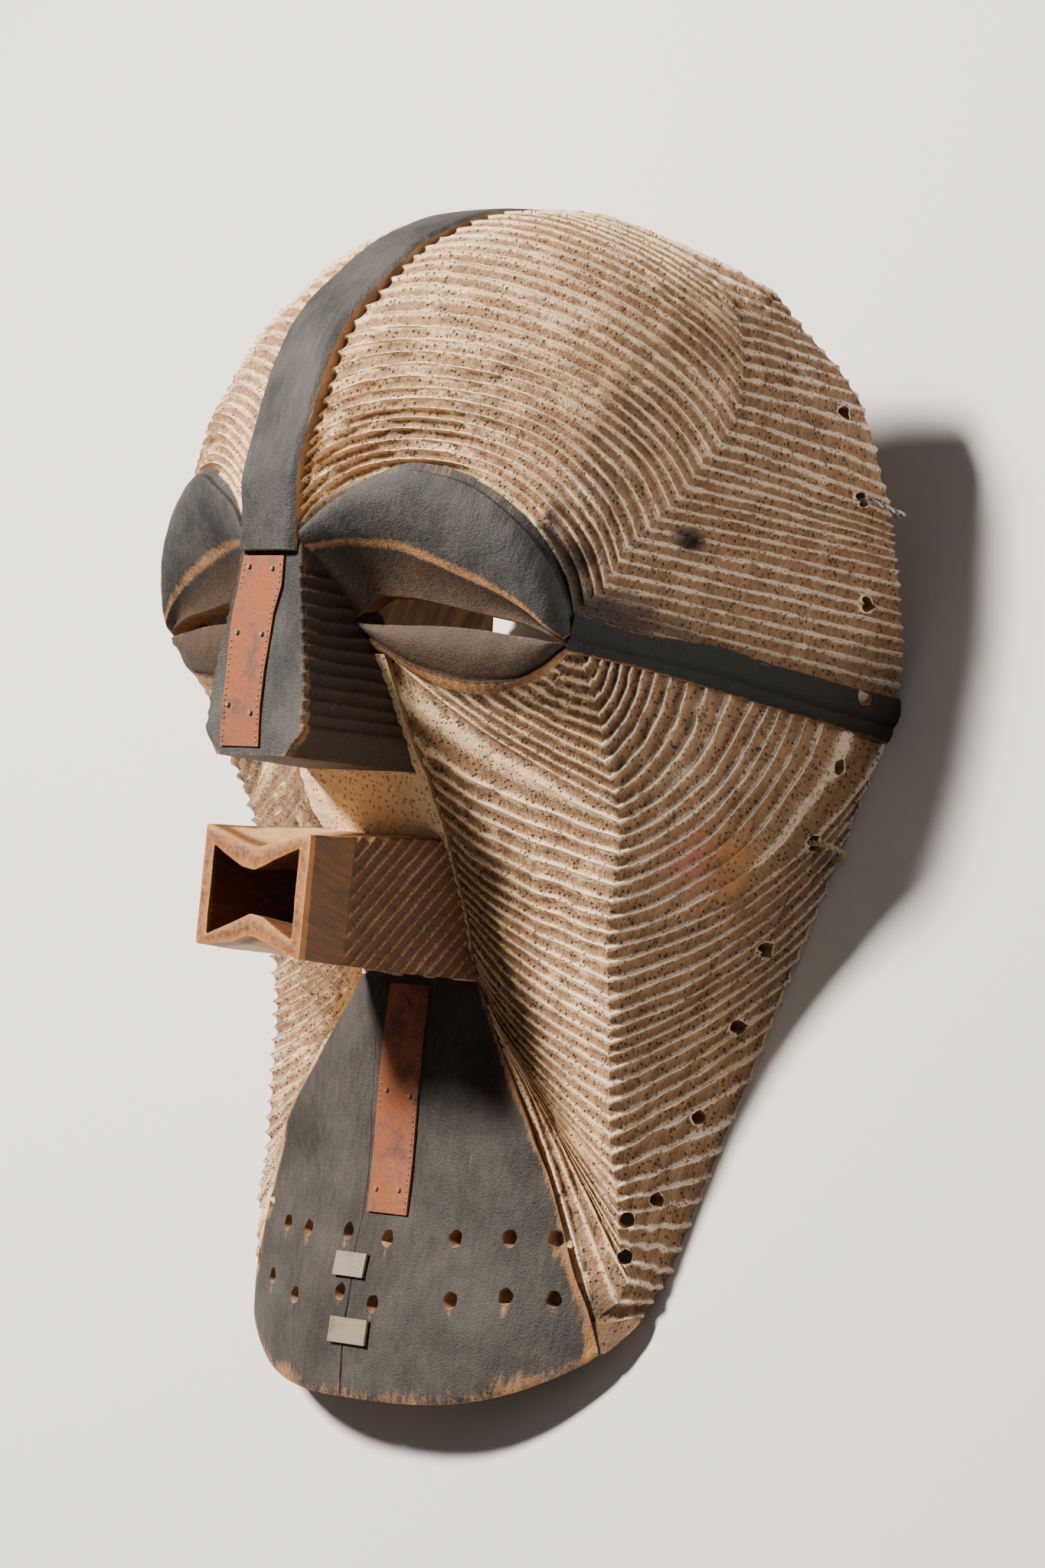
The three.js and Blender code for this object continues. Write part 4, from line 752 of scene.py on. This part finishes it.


# Lower patches: painted shade that greys and darkens the side, a dark foot with bare wood, and a worn spot on
# the right.
def addLower():
    outer, back, marks = carvedGrid(lowerPatch, lowerSurface)
    # Painted shade: the side face, turned away from the key light, is greyed and darkened.
    shadedSide = np.clip(smooth(1.15, 0.9, lowerPatch["places"]) + 0.5 * noise(outer, 20, 45), 0, 1)
    worn = blob(outer, (119, -14, 2), (9, 9, 9)) + 0.7 * blob(outer, (118, -27, 0), (9, 7, 8))
    red = 0.9 * blob(outer, (115, -12, 19), (9, 9, 8)) + 0.6 * blob(outer, (114, -24, 22), (9, 6, 9))
    foot, stain = blob(outer, (106, -202, 33), (9, 7, 9)), blob(outer, (106, -194, 36), (9, 9, 9))
    for sign in (1, -1):
        near = 1.0 if sign > 0 else 0.0
        spots = {"bare": near * worn + 0.8 * foot, "trace": near * red, "stain": 0.75 * stain}
        piece = sideSlab("lower", sign, outer, back, grooved, {**marks, "shadedSide": shadedSide, **spots})
        carve(piece, [cutBox, cavity, *rimBores[sign][3:]])
        show(piece, groove["crease"])


addUpper()
addLower()

print("stage: brows, lids and bands")

eye = {"columns": 90, "bulge": 6, "lidBulge": 2.5, "tuck": 3.5, "wall": 8.0, "lidRows": 14}


# Swell of brow and lid along their length: a sine that dies at both ends.
def swell(t):
    return np.sin(math.pi * (t + 0.6) / 9.2)[..., None]


# Brow: bulges by 4 f (1 - f) from its top to its lower edge, then hollows down to the slit.
def addBrow(sign):
    t = np.linspace(0, 8, eye["columns"])[None, :]
    top, edge, slit = along(browTop, t), along(browEdge, t), along(slitTop, t)
    rows = [sunk(top, 4.0) + np.array([0.25, 0.9, 0]) * eye["tuck"], sunk(top, 2.0)]
    bulge = np.array([0.2, 0.35, 0.95]) * eye["bulge"] * swell(t)
    rows += [mix(top, edge, f) + bulge * 4 * f * (1 - f) for f in np.linspace(0.03, 1, 22)]
    fold, hollow = rows[-1], np.array([0, 0, -1.6])
    rows += [mix(fold, slit, f) + hollow * 4 * f * (1 - f) for f in np.linspace(0.06, 1, 12)]
    outer = np.concatenate(rows)
    lump = 0.35 * noise(outer, 7, 51) + 0.7 * noise(outer, 22, 52) * swell(t)[..., 0]
    outer = sunk(outer, -lump)
    place = np.concatenate([np.zeros(2), np.linspace(0, 1, 22), 1 + np.linspace(0.06, 1, 12)])[:, None]
    wear = np.exp(-((place - 1) / 0.09) ** 2) * 0.9 + np.exp(-((place - 0.02) / 0.05) ** 2) * 0.35
    show(sideSlab("brow", sign, outer, sunk(outer, eye["wall"]), matteBlack,
                  {"wear": wear, "warm": smooth(1.0, 1.25, place) * 0.9}))


# Lid: bulges from the slit to its foot, then steps down as a thin edge.
def addLid(sign):
    t = np.linspace(0, 8, eye["columns"])[None, :]
    slit, foot, rim = along(slitFoot, t), along(lidFoot, t), along(lidRim, t)
    bulge = np.array([0.1, 0, 1]) * eye["lidBulge"] * swell(t)
    rows = [mix(slit, foot, f) + bulge * 4 * f * (1 - f) for f in np.linspace(0, 1, eye["lidRows"])]
    rows += [mix(foot, rim, f) + np.array([0, 0, -0.8]) * (1 - f) for f in (0.15, 0.3)]
    rows += [sunk(mix(foot, rim, f), -0.9 * math.sin(math.pi * f)) for f in (0.4, 0.6, 0.8, 0.95, 1.1)]
    outer = np.concatenate(rows)
    outer = sunk(outer, -0.3 * noise(outer, 6, 61))
    place = np.arange(len(outer))[:, None] / (eye["lidRows"] - 1)
    wear = 0.75 * smooth(1.15, 1.3, place) + 0.4 * np.exp(-(place / 0.1) ** 2)
    show(sideSlab("lid", sign, outer, sunk(outer, eye["wall"]), matteBlack, {"wear": wear, "warm": 0.9}))


band = {"rise": 1.8, "columns": 120, "rows": 22, "wall": 9.5, "groove": 1.1, "grooveAt": 0.66, "lap": 1.5}


# Band section: a rounded bar with one shallow groove along it.
def addBand(sign):
    t = np.linspace(0, 1, band["columns"])[None, :]
    f = np.linspace(0, 1, band["rows"])[:, None]
    top, foot = along(bandTop, t), along(bandFoot, t)
    rise = band["rise"] * np.clip(np.sin(math.pi * f), 0, 1) ** 0.35
    rise = rise - band["groove"] * np.exp(-((f - band["grooveAt"]) / 0.07) ** 2)
    p = mix(top, foot, f[..., None]) + np.array([0, 1, 0]) * (band["lap"] * (1 - 2 * f))[..., None]
    outer = sunk(p, -(rise + 0.15) - 0.25 * noise(p, 6, 71))
    wear = 0.55 * np.exp(-(f / 0.06) ** 2) + 0.65 * np.exp(-((f - 1) / 0.06) ** 2)
    piece = sideSlab("band", sign, outer, sunk(outer, band["wall"]), glossBlack,
                     {"wear": wear, "warm": 0.35 * smooth(0.7, 1, t)})
    carve(piece, [cutBox, rimBores[sign][3]])
    show(piece)


for side in (1, -1):
    addBrow(side)
    addLid(side)
    addBand(side)

print("stage: crest, chin, corners and middle")

crest = {"half": 17, "rise": 2.4, "wall": 10, "chipAt": (8, 238, 32), "chipSize": (11, 8, 16)}


# Crest: its line swept to both sides, rounded at the edges, sinking and chipped at its upper end.
def addCrest():
    t = np.linspace(0, 1, 150)[:, None]
    s = np.linspace(-1, 1, 26)[None, :]
    line = along(crestLine, t[:, 0])
    p = np.stack(np.broadcast_arrays(s * crest["half"], line[:, :1], line[:, 1:]), -1)
    rounded = 0.9 * np.abs(s) ** 2 + 1.6 * smooth(0.86, 1, np.abs(s))
    rise = crest["rise"] * (1 - 2.2 * smooth(0.8, 0.95, t))
    outer = sunk(p, rounded - rise + 0.35 * noise(p, 11, 81) + 0.15 * noise(p, 3, 82))
    outer[..., 0] += 0.6 * noise(p, 14, 83) * np.abs(s)
    chip = blob(outer, crest["chipAt"], crest["chipSize"])
    outer = sunk(outer, 1.6 * chip)
    wear = 0.4 * smooth(0.9, 1, np.abs(s)) + 1.1 * chip
    show(slab("crest", outer, sunk(outer, crest["wall"]), matteBlack, {"wear": wear, "warm": 0}))


# Chin plate: the cube and square laws of chinSurface, with dents, worn edges and worn hole lips.
def addChin():
    t = np.linspace(0, 1, 130)[:, None]
    s = np.linspace(-1, 1, 150)[None, :]
    edge, middle = along(chinEdge, t[:, 0])[:, None, :], along(chinMiddle, t[:, 0])[:, None, :]
    y = middle[..., 0] + (edge[..., 1] - middle[..., 0]) * np.abs(s) ** 3
    z = middle[..., 1] + (edge[..., 2] - middle[..., 1]) * s * s + 0.8
    outer = np.stack(np.broadcast_arrays(edge[..., 0] * s, y, z), -1)
    dents = 0.35 * noise(outer, 16, 91) + 0.12 * noise(outer, 4, 92)
    rim = smooth(0.965, 1, np.abs(s)) + smooth(0.985, 1, t)
    outer = sunk(outer, dents * 0.7 + 0.8 * rim)
    wear = 0.8 * smooth(0.93, 1, np.abs(s) + 0.02 * noise(outer, 12, 93)) + 0.5 * smooth(0.93, 1, t)
    wear = wear + 0.35 * np.clip(noise(outer, 26, 94), 0, 1) * smooth(0.45, 0.8, t)
    for x, y in chinHoles:
        spot = (outer[..., 0] - x) ** 2 + (outer[..., 1] - (y - 4.5)) ** 2 * 0.4
        wear = wear + 0.5 * np.exp(-spot / 6)
    piece = slab("chin", outer, sunk(outer, groove["wall"]), matteBlack, {"wear": wear, "warm": 0.25})
    carve(piece, [cavity, crack, *chinBores])
    show(piece)


corner = {"points": 30, "net": [[along(lowerRim, 1), along(ridge, 1), [99, -199, 37.5]],
                                [[117.8, -198.5, 24.5], [109, -206, 33.3], [100, -206, 37.5]],
                                [[116, -202.5, 27.5], [112.5, -207.5, 30.5], [108.5, -211.5, 33.5]]]}


# Corner: a small patch curved both ways through a net of three by three points.
def addCorner(sign):
    net, places = np.array(corner["net"]), np.linspace(0, 2, corner["points"])
    rows = np.stack([along(np.column_stack([[0, 1, 2], net[k]]), places) for k in range(3)])
    outer = np.stack([along(np.column_stack([[0, 1, 2], rows[:, k]]), places) for k in range(len(places))], 1)
    outer = sunk(outer, 0.3 * noise(outer, 5, 95))
    # The corner gets the full painted shade of the side faces.
    show(sideSlab("corner", sign, outer, sunk(outer, groove["wall"]), grooved,
                  {"valley": 0.9, "shadedSide": 1, "bare": 0.2, "stain": 0.6}))


# Middle: from one inner crease to the other, arched by 1 - s squared, with shallow slanting cuts.
def addMiddle():
    t = np.linspace(0.25, 0.75, 90)
    s = np.linspace(-1, 1, 50)[None, :]
    p = along(inner, t)[:, None, :]
    outer = np.stack(np.broadcast_arrays(p[..., 0] * s, p[..., 1], p[..., 2] + 1 + 2.5 * (1 - s * s)), -1)
    cuts = 0.5 + 0.5 * np.sin(outer[..., 1] * 1.1 + outer[..., 0] * 0.25 + 2 * noise(outer, 14, 97))
    outer = sunk(outer, 0.7 * cuts + 0.3 * noise(outer, 5, 98))
    piece = slab("middle", outer, sunk(outer, groove["wall"]), grooved,
                 {"valley": 0.45 * cuts, "run": outer[..., 0] / 1000, "row": outer[..., 1] / 1000, "shadedSide": 0})
    carve(piece, [cavity, crack])
    show(piece)


addCrest()
addChin()
addCorner(1)
addCorner(-1)
addMiddle()

print("stage: nose and mouth")

nose = {"front": 148, "levels": [[5, 22, 33], [8, 24.5, 33.5], [16.5, 31, 35], [78.5, 20, 32], [88, 18, 30]],
        "back": [[5, 84], [26, 97], [48, 107], [60, 111], [75, 124], [88, 134]], "pitch": 5.27, "cut": 1.1,
        "round": 1.6}


# Nose ring at a height: up one side from the face, round the edge, across the front and back down.
def addNose():
    y = np.linspace(5, 88, 200)
    sizes, backs = along(nose["levels"], y), along(nose["back"], y)[:, 0]
    reach = nose["front"] - nose["round"] - backs
    f = np.linspace(1, 0, 46)[None, :]
    depth = nose["round"] + reach[:, None] * f
    half = sizes[:, :1] + (sizes[:, 1:] - sizes[:, :1]) * depth / 50
    where = np.stack(np.broadcast_arrays(y[:, None], depth, 0 * depth), -1)
    phase = (y[:, None] - 19) / nose["pitch"] + 0.1 * noise(where, 9, 3)
    inZone = (smooth(16, 18, y) * (1 - smooth(78, 80, y)))[:, None]
    shape = grooveProfile(phase + 0.5) * inZone
    half = half - nose["cut"] * shape
    sideX, sideZ = half, nose["front"] - depth
    angle = np.linspace(0, math.pi / 2, 6)[None, 1:-1]
    edgeX = half[:, -1:] - nose["round"] * (1 - np.cos(angle))
    edgeZ = nose["front"] - nose["round"] * (1 - np.sin(angle))
    frontX = (half[:, -1:] - nose["round"]) * np.linspace(1, -1, 30)[None, :]
    frontZ = np.full_like(frontX, nose["front"])
    x = np.concatenate([sideX, edgeX, frontX, -edgeX[:, ::-1], -sideX[:, ::-1]], 1)
    z = np.concatenate([sideZ, edgeZ + 0 * edgeX, frontZ, (edgeZ + 0 * edgeX)[:, ::-1], sideZ[:, ::-1]], 1)
    rings = np.stack([x, np.broadcast_to(y[:, None], x.shape), z], -1)
    rings[..., 2] += 0.25 * noise(rings, 8, 101) * (rings[..., 2] > 120)
    rings[..., 0] += 0.25 * noise(rings, 6, 102)
    onFront = np.concatenate([0 * sideX, 0 * edgeX + 0.5, 0 * frontX + 1, 0 * edgeX + 0.5, 0 * sideX], 1)
    corner = np.exp(-((np.abs(x) - (sizes[:, :1])) / 2.2) ** 2) * (z > nose["front"] - 3)
    wear = 0.4 * corner + 0.35 * (1 - smooth(5, 9, y))[:, None] * onFront + 0.12 * (1 - onFront)
    warm = 0.85 * (1 - onFront)
    show(loft("nose", rings, [matteBlack], {"wear": wear, "warm": warm}))


mouth = {"front": 140, "pitch": 6, "cut": 1.6, "slant": 0.818, "lip": 119, "under": 7, "innerUnder": 10}
faceDepth = [[-75, 52], [-62, 57], [-51, 60.7], [-41, 65], [-31, 70], [-20, 75.5], [-9, 84]]


# Depth at share k of the way from under the face to the front of the mouth.
def mouthDepth(ring, under, k):
    back = along(faceDepth, ring[:, 1])[:, 0] - under
    return mix(back, mouth["front"], k)


# Mouth box: outer rings out from the face, over the lip, and inner rings back in, as one ring surface.
def addMouth():
    rings, wear, grooveDarkAndShade, pale = [], [], [], []
    for k in np.linspace(0, 1, 110):
        ring = mouthRing(60 + 80 * k, outerMouth, True)
        ring[:, 2] = mouthDepth(ring, mouth["under"], k)
        phase = (ring[:, 2] + mouth["slant"] * (ring[:, 1] + 78) - 8) / mouth["pitch"]
        onSide = smooth(28, 31, np.abs(ring[:, 0])) * (1 - smooth(mouth["lip"] - 2, mouth["lip"], ring[:, 2]))
        shape = grooveProfile(phase + 0.5) * onSide
        ring[:, 0] -= np.sign(ring[:, 0]) * mouth["cut"] * shape
        flat = smooth(3, 9, np.abs(ring[:, 1] + 46) - 12) * (1 - smooth(26, 31, np.abs(ring[:, 0])))
        flat = flat * (1 - smooth(128, 137, ring[:, 2]))
        rings.append(ring)
        wear.append(np.where(k > 0.965, 0.8, 0.1) + 0 * shape)
        grooveDarkAndShade.append(0.6 * onSide * shape)
        pale.append(np.clip(0.7 * onSide * (1 - shape) + flat, 0, 1))
    lipRing, innerRing = mouthRing(140, outerMouth, True), mouthRing(140, innerMouth, False)
    none = np.zeros(len(lipRing))
    for k in np.linspace(0.08, 1, 7):
        ring = mix(lipRing, innerRing, k)
        ring[:, 2] = mouth["front"] + 0.5 * math.sin(math.pi * k)
        rings.append(ring)
        wear.append(none + 0.7 - 0.35 * math.sin(math.pi * k))
        grooveDarkAndShade.append(none)
        pale.append(none)
    for k in np.linspace(0.97, 0, 40):
        ring = mouthRing(55 + 85 * k, innerMouth, False)
        ring[:, 2] = mouthDepth(ring, mouth["innerUnder"], k)
        rings.append(ring)
        wear.append(none + 0.15)
        # Painted shade: the inner rings darken towards the back of the mouth.
        grooveDarkAndShade.append(none + 0.9 - 0.8 * k)
        pale.append(none)
    rings = np.array(rings)
    rings += 0.2 * np.stack([noise(rings, 7, 111), noise(rings, 7, 112), 0 * rings[..., 0]], -1)
    rows, columns = rings.shape[:2]
    piece = makeMesh("mouth", rings.reshape(-1, 3), gridQuads(rows, columns, 0, True, True), [mouthWood],
                     {"wear": np.array(wear), "grooveDarkAndShade": np.array(grooveDarkAndShade), "pale": np.array(pale)})
    show(piece)


addNose()
addMouth()

print("stage: metal and thread")

for name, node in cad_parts.items():
    for word, skin in {"strip": copperSheet, "nail": nailSkin, "plate": tinSheet}.items():
        if word in name:
            node.data.materials.clear()
            node.data.materials.append(skin)


punch = {"radius": 0.62, "height": 0.42, "gap": 2.3, "inset": 1.5, "sides": 8, "castFrom": 170,
         "widths": (1, 0.85, 0.5, 0.06), "levels": (-0.25, 0.45, 0.8, 1.0)}


# Punched dots: small domes along a strip's edges, each set on the strip by a ray cast from above.
def addPunches(name, edges, spans):
    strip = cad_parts[name]
    table = np.array(edges, float)[::-1]
    intoStrip = strip.matrix_world.inverted()
    toward = (intoStrip.to_3x3() @ Matrix(turnBack.tolist())).col[2]
    centres = []
    for side, low, high in spans:
        for y in np.arange(low, high, punch["gap"]):
            inset = punch["inset"] if side == 1 else -punch["inset"]
            x = np.interp(y, table[:, 0], table[:, side]) + inset
            x, y = x + 0.25 * math.sin(5 * y), y + 0.3 * math.sin(9 * y)
            above = lay(np.array([[x, y, punch["castFrom"]]]))[0]
            start = intoStrip @ Matrix.Translation(above).translation
            hit, where, _, _ = strip.ray_cast(start, -toward)
            if hit:
                centres.append([x, y, punch["castFrom"] - (where - start).length * 1000])
    centres = np.array(centres)
    angle = np.linspace(0, 2 * math.pi, punch["sides"], endpoint=False)
    circle = np.column_stack([np.cos(angle), np.sin(angle), 0 * angle]) * punch["radius"]
    levels = zip(punch["widths"], punch["levels"])
    dome = np.concatenate([circle * wide + [0, 0, high * punch["height"]] for wide, high in levels])
    points = (centres[:, None] + dome[None]).reshape(-1, 3)
    ring = gridQuads(len(punch["levels"]), punch["sides"], 0, False, True)
    faces = (ring[None] + (np.arange(len(centres)) * len(dome))[:, None, None]).reshape(-1, 4)
    piece = makeMesh(name.replace("_strip", "Punches"), points, faces, [copperSheet])
    piece.data.shade_smooth()
    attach(piece, "root")


noseStripEdge = [[82.6, -15.1, 10], [71, -16.6, 10.3], [60, -18.8, 7], [52, -19.2, 6.4], [38, -19, 4.8],
                 [24, -19.4, 4.4], [8.3, -18.3, 5.8]]
chinStripEdge = [[-76, -12.7, 11.7], [-97, -12, 12.2], [-120, -11.6, 13.2], [-145, -10.4, 14.2],
                 [-166.5, -9, 15.3]]
addPunches("nose_strip", noseStripEdge, [(2, 10, 81), (1, 10, 50), (1, 70, 81)])
addPunches("chin_strip", chinStripEdge, [(2, -164, -78), (1, -125, -112)])


# Strand: a tube wound round the cord's smooth path at its offset, with a set number of turns.
def strand(name, cord, start, material):
    stations = np.column_stack([np.linspace(0, 1, len(cord["path"])), cord["path"]])
    k = np.linspace(0, 1, 240)
    line = along(stations, k)
    ahead = np.gradient(line, axis=0)
    ahead /= np.linalg.norm(ahead, axis=1, keepdims=True)
    side = np.cross([0, 1, 0], ahead)
    side /= np.linalg.norm(side, axis=1, keepdims=True)
    up = np.cross(ahead, side)
    twist = start + 2 * math.pi * cord["turns"] * k
    centre = line + cord["offset"] * (np.cos(twist)[:, None] * side + np.sin(twist)[:, None] * up)
    angle = np.linspace(0, 2 * math.pi, 8, endpoint=False)
    rings = centre[:, None] + cord["radius"] * (np.cos(angle)[None, :, None] * side[:, None]
                                                + np.sin(angle)[None, :, None] * up[:, None])
    piece = loft(name, rings, [material])
    piece.data.shade_smooth()
    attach(piece, "root")
    return piece


twine = {"radius": 0.62, "offset": 0.6, "turns": 9, "slot": "twine", "path": [
    (119, -6.5, -34.7), (126, -6.5, -35), (132.2, -7, -36.5), (133, -9.5, -44), (131.6, -11.5, -44.9),
    (126, -12.5, -45.3), (117.5, -11.5, -44.8), (112.5, -9.5, -43), (114, -7.5, -36), (119, -6.5, -34.7)]}
thread = {"radius": 0.5, "offset": 0.42, "turns": 7, "slot": "thread", "path": [
    (116, 130, -46), (122, 129.9, -46.2), (127.8, 129.4, -47.2), (129.3, 128.2, -52),
    (128.9, 127, -59), (127.2, 126.4, -65), (123, 126.2, -66), (118.5, 126.8, -65.4)]}
twineFibre = fibrePaint("twineFibre", (0.62, 0.47, 0.29), (0.28, 0.18, 0.09))
creamFibre = fibrePaint("creamFibre", (0.72, 0.66, 0.52), (0.42, 0.36, 0.26))
blueFibre = fibrePaint("blueFibre", (0.22, 0.26, 0.32), (0.10, 0.12, 0.16))
for number in range(3):
    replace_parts(strand(f"twine{number}", twine, number * 2 * math.pi / 3, twineFibre), "cord_loop")
for number, fibre in enumerate((creamFibre, blueFibre)):
    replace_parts(strand(f"thread{number}", thread, number * math.pi, fibre), "rim_thread")

for cutter in cutterObjects:
    bpy.data.objects.remove(cutter)

print("stage: floor and light")


floorFacts = {"half": 6, "color": (0.62, 0.61, 0.6, 1), "roughness": 0.9}


# Floor: one plain pale square on the ground.
def addFloor():
    half = floorFacts["half"]
    mesh = bpy.data.meshes.new("floor")
    corners = [(-half, -half, 0), (half, -half, 0), (half, half, 0), (-half, half, 0)]
    mesh.from_pydata(corners, [], [(0, 1, 2, 3)])
    floor = bpy.data.objects.new("floor", mesh)
    bpy.context.collection.objects.link(floor)
    paint = Paint("floorPaint")
    paint.shader.inputs["Base Color"].default_value = floorFacts["color"]
    paint.shader.inputs["Roughness"].default_value = floorFacts["roughness"]
    mesh.materials.append(paint.material)


keyLight = {"direction": (-1.02, 0.8, 0.34), "distance": 2.0, "size": 0.36, "power": 172,
            "color": (1, 0.93, 0.83)}
fillLight = {"direction": (0.8, 0.45, 0.6), "distance": 2.4, "size": 1.2, "power": 17,
             "color": (1, 0.985, 0.97)}
room = {"aim": (0, 0, 0.1), "color": (1, 0.98, 0.95, 1), "strength": 0.12}


# Area light at a direction given in the camera's own axes, aimed at the middle of the mask.
def addLight(name, facts):
    direction = np.array(facts["direction"])
    away = cameraAxes @ (direction / np.linalg.norm(direction))
    light = bpy.data.objects.new(name, bpy.data.lights.new(name, "AREA"))
    light.data.size, light.data.energy, light.data.color = facts["size"], facts["power"], facts["color"]
    light.location = np.array(room["aim"]) + away * facts["distance"]
    z = away / np.linalg.norm(away)
    x = np.cross([0, 0, 1], z)
    x /= np.linalg.norm(x)
    light.rotation_euler = Matrix(np.column_stack([x, np.cross(z, x), z]).tolist()).to_euler()
    bpy.context.collection.objects.link(light)


addFloor()
addLight("keyLight", keyLight)
addLight("fillLight", fillLight)
world = bpy.data.worlds.new("softRoom")
world.use_nodes = True
background = world.node_tree.nodes["Background"].inputs
background["Color"].default_value = room["color"]
background["Strength"].default_value = room["strength"]
bpy.context.scene.world = world

print("stage: done")
